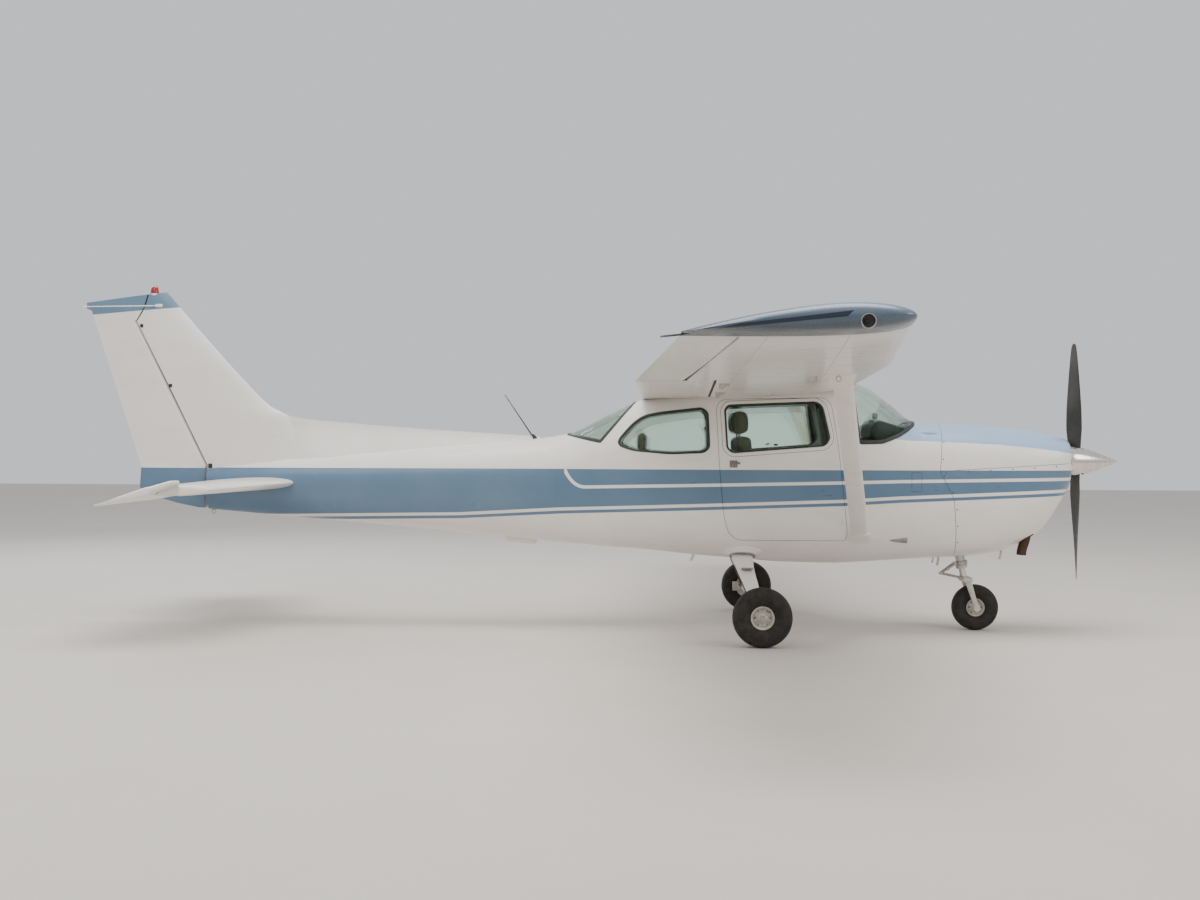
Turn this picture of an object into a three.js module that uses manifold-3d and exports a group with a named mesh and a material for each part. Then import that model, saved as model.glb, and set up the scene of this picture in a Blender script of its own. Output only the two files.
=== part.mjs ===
// A high-wing, single-engine light aircraft parked on its tricycle gear.
// Millimetres. X is measured forward from the main axle, Y to the left, Z up from the ground; the
// whole group is then shifted so that its origin is under the middle of the aircraft.
import * as THREE from "three";
import { mergeVertices } from "three/addons/utils/BufferGeometryUtils.js";
import Module from "manifold-3d";

const wasm = await Module();
wasm.setup();

const gap = 0.4; // left between two pieces that touch
const runGap = 8; // left between a moving surface and its fixed neighbour
const noseX = 2782; // tip of the spinner
const tailX = -5347; // aft end of the rudder cap

// Fuselage outer lines: x, top, bottom, half width, height of the widest point, and the
// roundness of the upper and lower halves (2 is an ellipse, more is squarer).
const fuselage = [
  [2388, 1450, 1165, 143, 1307, 2, 2],
  [2376, 1471, 1115, 262, 1303, 2.3, 2.1],
  [2352, 1484, 1062, 345, 1298, 2.6, 2.2],
  [2321, 1495, 1010, 388, 1290, 2.8, 2.2],
  [2231, 1518, 855, 428, 1270, 2.9, 2.3],
  [2133, 1538, 746, 448, 1240, 3, 2.4],
  [2027, 1553, 686, 465, 1210, 3, 2.6],
  [1852, 1576, 611, 486, 1180, 3, 2.8],
  [1628, 1592, 578, 505, 1160, 3, 3],
  [1400, 1600, 566, 520, 1150, 3, 3.2],
  [1223, 1606, 556, 530, 1150, 3.1, 3.3],
  [1008, 1763, 542, 537, 1150, 3.1, 3.4],
  [800, 1899, 528, 541, 1150, 3.3, 3.4],
  [600, 1925, 517, 543, 1150, 4, 3.4],
  [200, 1930, 523, 543, 1150, 4, 3.4],
  [-115, 1915, 547, 540, 1150, 4, 3.4],
  [-422, 1872, 567, 523, 1150, 3.8, 3.2],
  [-893, 1768, 610, 470, 1140, 3.2, 3],
  [-1200, 1630, 628, 425, 1120, 2.9, 2.8],
  [-1435, 1514, 647, 385, 1110, 2.7, 2.6],
  [-1680, 1470, 665, 355, 1100, 2.6, 2.5],
  [-2556, 1395, 754, 262, 1090, 2.4, 2.3],
  [-3756, 1295, 846, 158, 1078, 2.3, 2.2],
  [-4334, 1232, 894, 92, 1066, 2.3, 2.2],
];
const ringPoints = 28;
const wall = { cabin: 36, tailcone: 12, cowl: 14, wing: 10, tail: 7 };
const cabinEnd = -1500; // the cabin shell stops here and the tail cone starts
const drainHole = 6; // half the side of the holes under the hollow surfaces

// Where the cowl meets the cabin, seen from the side, and where its two halves meet.
const cowlEdge = [[1382, 1700], [1382, 1584], [1352, 1232], [1456, 1024], [1491, 600], [1491, 400]];
const cowlSeam = [[1300, 1232], [2500, 1306]];

// Side outlines of the doors and windows, [x, z].
const outline = {
  door: [[-310, 1700], [-288, 1755], [-240, 1772], [500, 1784], [550, 1740], [603, 1405], [672, 760],
    [655, 708], [-150, 706], [-215, 760], [-250, 880], [-283, 1238]],
  doorGlass: [[-243, 1690], [-219, 1722], [440, 1748], [482, 1715], [535, 1475], [500, 1424],
    [-185, 1369], [-226, 1401]],
  rearGlass: [[-1048, 1440], [-1034, 1475], [-936, 1587], [-854, 1644], [-724, 1669], [-414, 1703],
    [-372, 1668], [-360, 1404], [-400, 1369], [-657, 1358], [-935, 1382], [-1030, 1414]],
  windshield: [[705, 1830], [752, 1447], [925, 1452], [1054, 1504], [1165, 1575], [1236, 1640],
    [1100, 1760], [790, 1960], [706, 1960]],
  rearWindow: [[-925, 1740], [-1188, 1446], [-1440, 1497], [-1480, 1560], [-930, 1850]],
  baggageDoor: [[-640, 1270], [-640, 860], [-680, 820], [-1010, 820], [-1050, 860], [-1050, 1270],
    [-1010, 1310], [-680, 1310]],
};
const glassInset = 6; // from the outer skin to the outside of a pane
const glassThickness = 6;

// Wing panels: y, leading edge x and z, trailing edge x and z.
const wingRib = {
  root: { y: 552, lead: [735, 1912], trail: [-874, 1778] },
  kink: { y: 2560, lead: [735, 1972], trail: [-878, 1838] },
  tip: { y: 5200, lead: [488, 2038], trail: [-608, 1967] },
};
const wingThickness = 0.12;
const wingCamber = 0.02;
const halfSpan = 5485;
const flap = { inner: 622, outer: 2548, hinge: 0.7 };
const aileron = { inner: 2572, outer: 5140, hingeInner: 0.818, hingeOuter: 0.757 };

const strut = { foot: [762, 540, 742], head: [431, 2450, 1905], chord: 128, thickness: 0.33 };

// The tail: fin and rudder share a raked hinge line; the tailplane hinge is straight.
const rudderHinge = { low: [-4374, 1223], rake: -0.5 };
const finLead = [[1223, -3520], [1560, -3660], [1642, -3700], [1713, -3835], [1793, -3928],
  [2049, -4173], [2321, -4418], [2530, -4599], [2660, -4712]];
const rudderTrail = [[905, -4420], [956, -4660], [1067, -4906], [1220, -4890], [2483, -5306],
  [2500, -5347], [2660, -5347]];
const hornLine = [[2394, -4936], [2499, -4870], [2660, -4822]];
const finThickness = 0.085;
const hornBase = 2394; // the rudder's horn starts above this height
const dorsal = [[-1680, 1484], [-1998, 1504], [-2556, 1537], [-3118, 1579], [-3522, 1612],
  [-3684, 1642], [-3800, 1700]];
const tailplane = {
  hinge: [-4306, 1088], lead: [-3589, 1112], tipLead: [-3850, 1104], halfSpan: 1725, hornY: 1560,
  elevatorChord: 420, tipElevatorChord: 385, droop: 13.5, thick: 0.09, hornReach: 200,
};

const mainWheel = { y: 1276.5, radius: 212, width: 158, rim: 84, bore: 20.5 };
const noseWheel = { x: 1700, radius: 176, width: 126, rim: 70, bore: 12.5 };
const steer = { foot: [1657, 176], head: [1572, 640] };
const forkY = 92; // from the middle to each arm of the nose fork
const propeller = { x: 2457, z: 1307, diameter: 1820, lean: -3, hub: 62 };
const spinner = { back: 2404, rim: 2424, base: 124 };

// ---------------------------------------------------------------- geometry helpers

const V = (x, y, z) => new THREE.Vector3(x, y, z);
const mirrored = (rings) => rings.map((ring) => ring.map((p) => V(p.x, -p.y, p.z)));

function areaOn(ring, first, second) {
  return ring.reduce((sum, p, i) => {
    const q = ring[(i + 1) % ring.length];
    return sum + p[first] * q[second] - q[first] * p[second];
  }, 0);
}

// Triangles that close a planar or nearly planar ring, wound as the ring is.
function capFaces(ring) {
  const planes = [["x", "y"], ["y", "z"], ["z", "x"]];
  const [a, b] = planes.sort((p, q) => Math.abs(areaOn(ring, ...q)) - Math.abs(areaOn(ring, ...p)))[0];
  const flat = ring.map((p) => new THREE.Vector2(p[a], p[b]));
  const sign = Math.sign(areaOn(ring, a, b));
  return THREE.ShapeUtils.triangulateShape(flat, []).map((face) => {
    const faceSign = Math.sign(areaOn(face.map((i) => ring[i]), a, b));
    return faceSign === sign ? face : [face[2], face[1], face[0]];
  });
}

// A closed solid through rings of equal length, capped at both ends.
function loft(rings) {
  const n = rings[0].length;
  const index = [];
  for (let r = 0; r + 1 < rings.length; r++) {
    for (let i = 0; i < n; i++) {
      const a = r * n + i;
      const b = r * n + ((i + 1) % n);
      index.push(a, b, b + n, a, b + n, a + n);
    }
  }
  const last = (rings.length - 1) * n;
  capFaces(rings[0]).forEach(([a, b, c]) => index.push(c, b, a));
  capFaces(rings.at(-1)).forEach(([a, b, c]) => index.push(last + a, last + b, last + c));
  const geometry = new THREE.BufferGeometry();
  geometry.setAttribute("position", new THREE.Float32BufferAttribute(
    rings.flat().flatMap((p) => [p.x, p.y, p.z]), 3));
  geometry.setIndex(index);
  return outward(geometry);
}

function signedVolume(geometry) {
  const p = geometry.attributes.position;
  const index = geometry.index.array;
  const [a, b, c] = [V(), V(), V()];
  let volume = 0;
  for (let i = 0; i < index.length; i += 3) {
    a.fromBufferAttribute(p, index[i]);
    b.fromBufferAttribute(p, index[i + 1]);
    c.fromBufferAttribute(p, index[i + 2]);
    volume += a.dot(b.cross(c));
  }
  return volume;
}

function outward(geometry) {
  if (signedVolume(geometry) < 0) {
    const index = geometry.index.array;
    for (let i = 0; i < index.length; i += 3) [index[i], index[i + 2]] = [index[i + 2], index[i]];
  }
  return geometry;
}

// Geometry to and from a solid that can be joined and cut.
function solid(geometry) {
  const bare = geometry.clone();
  bare.deleteAttribute("normal");
  bare.deleteAttribute("uv");
  const merged = outward(mergeVertices(bare, 1e-3));
  return new wasm.Manifold(new wasm.Mesh({
    numProp: 3,
    vertProperties: new Float32Array(merged.attributes.position.array),
    triVerts: new Uint32Array(merged.index.array),
  }));
}

function surface(manifold) {
  const mesh = manifold.getMesh();
  const geometry = new THREE.BufferGeometry();
  geometry.setAttribute("position", new THREE.BufferAttribute(mesh.vertProperties, 3));
  geometry.setIndex(new THREE.BufferAttribute(mesh.triVerts, 1));
  return geometry;
}

const join = (parts) => parts.reduce((whole, part) => whole.add(part));
const cut = (body, tools) => tools.reduce((rest, tool) => rest.subtract(tool), body);
const moved = (body, x, y, z) => body.translate([x, y, z]);

function box(x0, x1, y0, y1, z0, z1) {
  const geometry = new THREE.BoxGeometry(x1 - x0, y1 - y0, z1 - z0);
  geometry.translate((x0 + x1) / 2, (y0 + y1) / 2, (z0 + z1) / 2);
  return solid(geometry);
}

// A side outline [x, z] pushed through from y0 to y1.
function prism(points, y0, y1) {
  return solid(loft([y0, y1].map((y) => points.map(([x, z]) => V(x, y, z)))));
}

// A round bar between two points, with its own radius at each end.
function bar(from, to, radius, radiusTo = radius, sides = 12) {
  const [a, b] = [V(...from), V(...to)];
  const geometry = new THREE.CylinderGeometry(radiusTo, radius, a.distanceTo(b), sides);
  const turn = new THREE.Quaternion().setFromUnitVectors(V(0, 1, 0), b.clone().sub(a).normalize());
  geometry.applyQuaternion(turn);
  geometry.translate(...a.add(b).multiplyScalar(0.5).toArray());
  return solid(geometry);
}

// A profile [radius, along] turned about a line through the centre along the Y axis.
function turnedY(profile, centre, segments) {
  const geometry = new THREE.LatheGeometry(profile.map(([r, y]) => new THREE.Vector2(r, y)), segments);
  geometry.translate(...centre);
  return solid(geometry);
}

// Straight interpolation in a list of [key, value], ordered by key.
function along(list, key) {
  const next = Math.min(Math.max(list.findIndex(([k]) => k >= key), 1), list.length - 1);
  const [[k0, v0], [k1, v1]] = [list[next - 1], list[next]];
  return v0 + ((v1 - v0) * (key - k0)) / (k1 - k0);
}

// ---------------------------------------------------------------- fuselage lines

function fuselageRing([x, top, bottom, half, middle, upper, lower], inset = 0) {
  return Array.from({ length: ringPoints }, (_, i) => {
    const angle = (2 * Math.PI * i) / ringPoints;
    const [c, s] = [Math.cos(angle), Math.sin(angle)];
    const power = 2 / (s >= 0 ? upper : lower);
    const height = s >= 0 ? top - middle : middle - bottom;
    return V(x, (half - inset) * Math.sign(c) * Math.abs(c) ** power,
      middle + (height - inset) * Math.sign(s) * Math.abs(s) ** power);
  });
}

const fuselageLoft = (inset, first = 0, last = fuselage.length) =>
  solid(loft(fuselage.slice(first, last).map((station) => fuselageRing(station, inset))));

const outer = fuselageLoft(0);
const cabinSpan = [8, 21];
const farSide = 2600; // well outside the fuselage
const roofSlab = solid(loft([-550, 550].map((y) => wingSection(wingRib.root, y))));
const aheadOfCowlEdge = prism([...cowlEdge, [2600, 400], [2600, 1700]], -farSide, farSide);
const sideReach = [120, 700];
const sideCut = (points, side) => prism(points, ...sideReach.map((y) => y * side).sort((a, b) => a - b));

const slab = (points, y, width) => prism(points, y - width / 2, y + width / 2);

// A skin of the fuselage between two depths below its outer face.
const skin = (from, to, first, last) =>
  fuselageLoft(from, first, last).subtract(fuselageLoft(to, first, last));

function cabinShell() {
  const body = outer.add(roofSlab).subtract(fuselageLoft(wall.cabin));
  const ends = [aheadOfCowlEdge, box(-6000, cabinEnd, -farSide, farSide, 0, 3000)];
  const sides = [1, -1].flatMap((side) => [sideCut(outline.door, side), sideCut(outline.rearGlass, side)]);
  return cut(body, [...ends, ...sides, prism(outline.windshield, -farSide, farSide),
    prism(outline.rearWindow, -farSide, farSide), sideCut(outline.baggageDoor, 1)]);
}

// A copy of a side outline drawn in by a clearance all round.
function shrunk(points, by) {
  const sign = Math.sign(points.reduce((sum, [x, z], i) => {
    const [u, v] = points[(i + 1) % points.length];
    return sum + x * v - u * z;
  }, 0));
  return points.map(([x, z], i) => {
    const [px, pz] = points.at(i - 1);
    const [nx, nz] = points[(i + 1) % points.length];
    const before = new THREE.Vector2(x - px, z - pz).normalize();
    const after = new THREE.Vector2(nx - x, nz - z).normalize();
    const inward = new THREE.Vector2(-before.y - after.y, before.x + after.x).multiplyScalar(sign);
    inward.normalize().multiplyScalar(by / Math.sqrt((1 + before.dot(after)) / 2));
    return [x + inward.x, z + inward.y];
  });
}

const glassSkin = skin(glassInset, glassInset + glassThickness, ...cabinSpan);
const paneSide = (points, side) => glassSkin.intersect(sideCut(shrunk(points, gap), side));

function door(points, side) {
  return skin(0, wall.cabin, ...cabinSpan).intersect(sideCut(shrunk(points, 6), side));
}

// ---------------------------------------------------------------- wings

// Camber line and half thickness of a four-digit section, as fractions of the chord.
function halfThickness(t, x) {
  return 5 * t * (0.2969 * Math.sqrt(x) - 0.126 * x - 0.3516 * x ** 2 + 0.2843 * x ** 3 - 0.1036 * x ** 4);
}
function camberAt(m, x) {
  const peak = 0.4;
  return x < peak ? (m / peak ** 2) * (2 * peak * x - x * x)
    : (m / (1 - peak) ** 2) * (1 - 2 * peak + 2 * peak * x - x * x);
}

// Stations of a section from x0 to x1 of the chord, crowded towards the front.
function chordSteps(x0, x1, count) {
  const share = (i) => 1 - Math.cos((Math.PI * i) / (2 * count));
  return Array.from({ length: count + 1 }, (_, i) => x0 + (x1 - x0) * share(i));
}

// Points [x, z] of a section in fractions of the chord, from the upper edge round to the lower one.
// A hinged part starts with a round nose at `from`; a fixed part that ends at `to` is hollowed there.
function sectionPoints(t, m, from, to, hollow = 0) {
  const steps = chordSteps(from, to, 6);
  const edge = (side) => (x) => [x, camberAt(m, x) + side * halfThickness(t, x)];
  const upper = steps.map(edge(1)).reverse();
  const lower = steps.map(edge(-1));
  const points = from > 0 ? [...upper, ...noseArc(t, m, from), ...lower] : [...upper, ...lower.slice(1)];
  if (!hollow) return points;
  const radius = halfThickness(t, to + hollow);
  const centre = [to + hollow, camberAt(m, to + hollow)];
  const arc = [-52, 0, 52].map((degrees) => {
    const angle = THREE.MathUtils.degToRad(degrees);
    const reach = radius + hollow * 0.35;
    return [centre[0] - reach * Math.cos(angle), centre[1] + radius * 0.9 * Math.sin(angle)];
  });
  return [...points, ...arc];
}

function noseArc(t, m, from) {
  const radius = halfThickness(t, from);
  return [52, 0, -52].map((degrees) => {
    const angle = THREE.MathUtils.degToRad(degrees);
    return [from - radius * Math.cos(angle), camberAt(m, from) + radius * Math.sin(angle)];
  });
}

function mix(a, b, f) {
  return a + (b - a) * f;
}

// The wing's rib at any distance out from the centre line.
function ribAt(y) {
  const [inner, outerRib] = y <= wingRib.kink.y ? [wingRib.root, wingRib.kink] : [wingRib.kink, wingRib.tip];
  const f = (y - inner.y) / (outerRib.y - inner.y);
  const at = (key) => [0, 1].map((i) => mix(inner[key][i], outerRib[key][i], f));
  return { y, lead: at("lead"), trail: at("trail") };
}

function placeOnRib(rib, points, y = rib.y) {
  const [dx, dz] = [rib.trail[0] - rib.lead[0], rib.trail[1] - rib.lead[1]];
  return points.map(([u, v]) => V(rib.lead[0] + dx * u + dz * v, y, rib.lead[1] + dz * u - dx * v));
}

function wingSection(rib, y) {
  return placeOnRib(rib, sectionPoints(wingThickness, wingCamber, 0, 0.999), y);
}

const wingSlice = (y, from, to, hollow) =>
  placeOnRib(ribAt(y), sectionPoints(wingThickness, wingCamber, from, to, hollow));

const aileronHinge = (y) => mix(aileron.hingeInner, aileron.hingeOuter,
  (y - aileron.inner) / (aileron.outer - aileron.inner));

// The hollow of a surface, as a loft of flat-ended sections that stay a wall's thickness inside it.
const hollowSteps = [0, 0.3, 0.65, 1];

function hollowSection(rib, from, to) {
  const chord = rib.lead[0] - rib.trail[0];
  const half = (u) => halfThickness(wingThickness, u) - wall.wing / chord;
  const us = hollowSteps.map((f) => mix(from, to, f));
  const edge = (side) => (u) => [u, camberAt(wingCamber, u) + side * half(u)];
  return placeOnRib(rib, [...us.map(edge(1)), ...us.map(edge(-1)).reverse()]);
}

// A surface of the wing with its hollow and a drain hole through its lower skin.
function emptied(body, stations, side) {
  const rings = stations.map(([y, from, to]) => hollowSection(ribAt(y), from, to));
  const [y, from, to] = stations[0];
  const [x, , z] = placeOnRib(ribAt(y), [[mix(from, to, 0.5), 0]])[0].toArray();
  const out = side * (y + 40);
  const drain = box(x - drainHole, x + drainHole, out - drainHole, out + drainHole, z - 150, z);
  return cut(body, [solid(loft(side > 0 ? rings : mirrored(rings))), drain]);
}

// The fixed wing: full chord between the surfaces, cut short where flap and aileron hang.
function wing(side) {
  const place = (rings) => solid(loft(side > 0 ? rings : mirrored(rings)));
  const hollow = (y, hinge) => wingSlice(y, 0, hinge - 0.024, 0.024);
  const kinkOut = aileron.inner - runGap;
  return join([
    place([wingSlice(wingRib.root.y, 0, 0.999), wingSlice(flap.inner - runGap, 0, 0.999)]),
    place([hollow(flap.inner - runGap - gap, flap.hinge), hollow(flap.outer + runGap, flap.hinge)]),
    place([wingSlice(flap.outer + runGap - gap, 0, 0.999), wingSlice(kinkOut, 0, 0.999)]),
    place([hollow(kinkOut - gap, aileron.hingeInner), hollow(aileron.outer + runGap, aileron.hingeOuter)]),
    place([wingSlice(aileron.outer + runGap - gap, 0, 0.999), wingSlice(wingRib.tip.y, 0, 0.999)]),
  ]);
}
const wingHollow = [[wingRib.root.y + 12, 0.05, 0.62], [wingRib.kink.y, 0.05, 0.62],
  [wingRib.tip.y - 12, 0.06, 0.68]];

function wingTip(side) {
  const rib = wingRib.tip;
  const shape = [[rib.y + gap, 0, 0, 1], [5320, 8, 4, 1], [5420, 18, 4, 0.93], [5462, 50, 18, 0.72],
    [halfSpan, 105, 60, 0.36]];
  const rings = shape.map(([y, front, back, depth]) => {
    const rise = (y - rib.y) * 0.03;
    const lead = [rib.lead[0] - front, rib.lead[1] + rise];
    const trail = [rib.trail[0] + back, rib.trail[1] + rise];
    return placeOnRib({ y, lead, trail }, sectionPoints(wingThickness * 1.04 * depth, wingCamber, 0, 0.999));
  });
  return solid(loft(side > 0 ? rings : mirrored(rings)));
}

function hingedSurface(inner, outerY, hingeInner, hingeOuter, side) {
  const rings = [wingSlice(inner, hingeInner, 0.999), wingSlice(outerY, hingeOuter, 0.999)];
  return emptied(solid(loft(side > 0 ? rings : mirrored(rings))),
    [[inner + 10, hingeInner, 0.9], [outerY - 10, hingeOuter, 0.88]], side);
}

// A streamlined brace from the cabin's lower corner to the wing, trimmed to both.
const strutOverlap = { foot: 60, head: 30 }; // how far it runs into the body and the wing before the trim
const strutCuff = [[-14, 90], [44, 90], [76, 66]]; // distance out from the foot, half length

function wingStrut(side, wingBody) {
  const shape = sectionPoints(strut.thickness, 0, 0, 0.999);
  const [from, to] = [strut.foot, strut.head].map(([x, y, z]) => V(x, side * y, z));
  const direction = to.clone().sub(from).normalize();
  from.addScaledVector(direction, -strutOverlap.foot);
  to.addScaledVector(direction, strutOverlap.head);
  const rings = [from, to].map((p) => shape.map(([u, v]) => V(p.x + (0.5 - u) * strut.chord,
    p.y + v * strut.chord * direction.z * side, p.z - v * strut.chord * Math.abs(direction.y))));
  const cuff = strutCuff.map(([out, size]) => shape.map(([u, v]) => V(strut.foot[0] + (0.5 - u) * size * 2,
    side * (strut.foot[1] + out + v * size * 0.4), strut.foot[2] - v * size * 1.1 + (out - 26) * 0.62)));
  return cut(solid(loft(rings)).add(solid(loft(cuff))),
    [outer, moved(wingBody, 0, 0, -gap), moved(outer, 0, side * gap, 0)]);
}

// ---------------------------------------------------------------- tail

const hingeX = (z) => rudderHinge.low[0] + rudderHinge.rake * (z - rudderHinge.low[1]);

// A level slice of the fin and rudder together between two stations, drawn in by `inset`.
function finSlice(z, x0, x1, nose, inset = 0) {
  const lead = along(finLead, z);
  const chord = lead - along(rudderTrail, Math.max(z, rudderHinge.low[1]));
  const share = (x) => Math.min(Math.max((lead - x) / chord, 0), 1);
  const half = (x) => Math.max(chord * halfThickness(finThickness, share(x)) - inset, 1.5);
  const xs = chordSteps(0, 1, 6).map((f) => mix(x0, x1, f));
  const upper = xs.map((x) => V(x, half(x), z));
  const lower = xs.map((x) => V(x, -half(x), z)).reverse();
  if (!nose) return [...upper, ...lower];
  const radius = half(x0);
  const arc = [-52, 0, 52].map((degrees) => {
    const angle = THREE.MathUtils.degToRad(degrees);
    return V(x0 + radius * Math.cos(angle), radius * Math.sin(angle), z);
  });
  return [...upper, ...lower, ...arc];
}

const finTopCut = slab([[-4600, 2640], [-4706, 2627], [-5400, 2542], [-5400, 2900], [-4300, 2900]], 0, 600);

function fin() {
  const trim = (z) => (z < hornBase ? hingeX(z) + 46 : along(hornLine, z) + 10);
  const levels = [1180, 1560, 1642, 1713, 1793, 2049, 2321, 2384, hornBase + 0.1, 2499, 2530, 2660];
  const blade = solid(loft(levels.map((z) => finSlice(z, along(finLead, z), trim(z), false))));
  const hollow = solid(loft([1330, 1700, 2340].map((z) =>
    finSlice(z, along(finLead, z) - 50, hingeX(z) + 60, false, wall.tail))));
  const drain = box(-4060, -4060 + 2 * drainHole, 0, 80, 1400, 1400 + 2 * drainHole);
  const ridge = solid(loft(dorsal.map(([x, top]) => {
    const base = along(fuselage.map((s) => [s[0], s[1]]).reverse(), x) - 40;
    const wide = mix(24, 100, Math.min((-1600 - x) / 2000, 1));
    return [V(x, wide, base), V(x, wide * 0.55, mix(base, top, 0.5)), V(x, 9, top - 6), V(x, 0, top),
      V(x, -9, top - 6), V(x, -wide * 0.55, mix(base, top, 0.5)), V(x, -wide, base)];
  })));
  return cut(blade.add(ridge), [moved(outer, 0, 0, gap), finTopCut, hollow, drain]);
}

function rudder() {
  const blade = solid(loft([1235, 1600, 2049, 2321, hornBase, 2483, 2500, 2660].map((z) =>
    finSlice(z, hingeX(z), along(rudderTrail, z), true))));
  const hollow = solid(loft([1300, 1800, 2350].map((z) =>
    finSlice(z, hingeX(z), along(rudderTrail, z) + 150, false, wall.tail))));
  const drain = box(-4560, -4560 + 2 * drainHole, 0, 80, 1320, 1320 + 2 * drainHole);
  const foot = solid(loft([[905, 34], [956, 44], [1067, 48], [1160, 46], [1236, 38]].map(([z, half]) => {
    const [x0, x1] = [-4362, along(rudderTrail, z)];
    return [V(x0, half, z), V(mix(x0, x1, 0.4), half * 0.85, z), V(x1, 3, z), V(x1, -3, z),
      V(mix(x0, x1, 0.4), -half * 0.85, z), V(x0, -half, z)];
  })));
  const horn = solid(loft([2402, 2499, 2660].map((z) =>
    finSlice(z, along(hornLine, z), hingeX(z) - 20, false))));
  return cut(join([blade, foot, horn]), [finTopCut, hollow, drain]);
}

const tipRib = 1700; // the last whole rib of the tailplane

// A section of the tailplane at y: the fixed part, its tip ahead of the horn, or the elevator.
// The hollow of the fixed part or the elevator is the same section drawn in, with square ends.
function tailSlice(y, part, inset = 0) {
  const f = Math.min(y / tipRib, 1);
  const lead = [0, 1].map((i) => mix(tailplane.lead[i], tailplane.tipLead[i], f));
  const [hx, hz] = tailplane.hinge;
  const rear = mix(tailplane.elevatorChord, tailplane.tipElevatorChord, f);
  const ahead = lead[0] - hx;
  const chord = ahead + rear;
  const slope = (lead[1] - hz) / ahead;
  const point = (x, v) => V(x, y, hz + slope * (x - hx) + v);
  const half = (x) => Math.max(chord * halfThickness(tailplane.thick, (lead[0] - x) / chord) - inset, 1.5);
  const hingeHalf = half(hx);
  const reach = {
    fixed: [lead[0], hx + hingeHalf * 0.55 + runGap],
    tip: [lead[0], hx + tailplane.hornReach + 26],
    moving: [hx, hx - rear],
    fixedHollow: [lead[0] - 45, hx + hingeHalf * 0.55 + runGap + 40],
    movingHollow: [hx, hx - rear * 0.72],
  };
  const xs = (inset ? hollowSteps : chordSteps(0, 1, 6)).map((g) => mix(...reach[part], g));
  const upper = xs.map((x) => point(x, half(x)));
  const lower = xs.map((x) => point(x, -half(x))).reverse();
  const arc = (radius, height, sign) => [52, 0, -52].map((degrees) => {
    const angle = THREE.MathUtils.degToRad(degrees * sign);
    return point(hx + radius * Math.cos(angle), height * Math.sin(angle));
  });
  if (part === "tip" || inset) return [...upper, ...lower];
  return part === "moving" ? [...upper, ...lower, ...arc(hingeHalf, hingeHalf, -1)]
    : [...upper, ...arc(hingeHalf + runGap, hingeHalf * 0.95, 1), ...lower];
}

function tailplaneHalf(side) {
  const place = (list) => solid(loft(side > 0 ? list : mirrored(list)));
  const innerEnd = tailplane.hornY - runGap;
  const tipSlice = tailSlice(tipRib, "tip");
  const tip = tipSlice.map((p) => V(mix(p.x, -3960, 0.3), tailplane.halfSpan, mix(p.z, 1092, 0.7)));
  const hollow = place([220, innerEnd - 12].map((y) => tailSlice(y, "fixedHollow", wall.tail)));
  const whole = place([tailSlice(60, "fixed"), tailSlice(innerEnd, "fixed")])
    .add(place([tailSlice(innerEnd - 1, "tip"), tipSlice, tip]));
  return cut(whole, [outer, moved(outer, 0, side * gap, 0), hollow, tailDrain(-3950, side)]);
}

function tailDrain(x, side) {
  return moved(box(-drainHole, drainHole, -drainHole, drainHole, 900, tailplane.hinge[1]), x, side * 500, 0);
}

// The elevator's balance horn: y, half height at the back and at the front.
const elevatorHorn = [[tailplane.hornY, 26, 6], [tipRib, 24, 6], [tailplane.halfSpan, 10, 3]];
const hornZ = 1107;
const hornMiddle = tailplane.hornReach - 90; // the thickest place of the horn

function elevator() {
  const [hx, hz] = tailplane.hinge;
  const halves = [1, -1].flatMap((side) => {
    const inner = tailSlice(0, "moving").map((p) =>
      V(p.x, mix(128, 232, (hx - p.x) / tailplane.elevatorChord), p.z));
    const rings = [inner, tailSlice(tipRib, "moving")];
    const tip = rings[1].map((p) => V(p.x, tailplane.halfSpan, mix(p.z, tailplane.hinge[1], 0.6)));
    const horn = elevatorHorn.map(([y, backHalf, frontHalf]) => [
      V(hx + hornMiddle, y, hornZ + frontHalf * 3), V(hx + tailplane.hornReach, y, hornZ + frontHalf),
      V(hx + tailplane.hornReach, y, hornZ - frontHalf), V(hx + hornMiddle, y, hornZ - frontHalf * 3),
      V(hx - 60, y, hz - backHalf), V(hx - 60, y, hz + backHalf)]);
    const place = (list) => solid(loft(side > 0 ? list : mirrored(list)));
    const hollow = place([300, tipRib - 20].map((y) => tailSlice(y, "movingHollow", wall.tail)));
    return [cut(place([...rings, tip]), [hollow, tailDrain(-4380, side)]), place(horn)];
  });
  const tube = bar([hx, -140, hz], [hx, 140, hz], 13);
  const body = join([...halves, tube]);
  return moved(moved(body, -hx, 0, -hz).rotate([0, -tailplane.droop, 0]), hx, 0, hz);
}

// ---------------------------------------------------------------- landing gear

function tyre(wheel, centre) {
  const [r, h, rim] = [wheel.radius, wheel.width / 2, wheel.rim];
  return turnedY([[rim, -h * 0.66], [r * 0.68, -h], [r * 0.87, -h * 0.86], [r, -h * 0.3], [r, h * 0.3],
    [r * 0.87, h * 0.86], [r * 0.68, h], [rim, h * 0.66], [rim, -h * 0.66]], centre, 24);
}

function rim(wheel, centre) {
  const [r, h, bore] = [wheel.rim - gap, wheel.width / 2, wheel.bore];
  return turnedY([[bore, -h * 0.5], [r * 0.8, -h * 0.2], [r * 0.86, -h * 0.6], [r, -h * 0.6],
    [r, h * 0.6], [r * 0.86, h * 0.6], [r * 0.8, h * 0.2], [bore, h * 0.5], [bore, -h * 0.5]], centre, 24);
}

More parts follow.
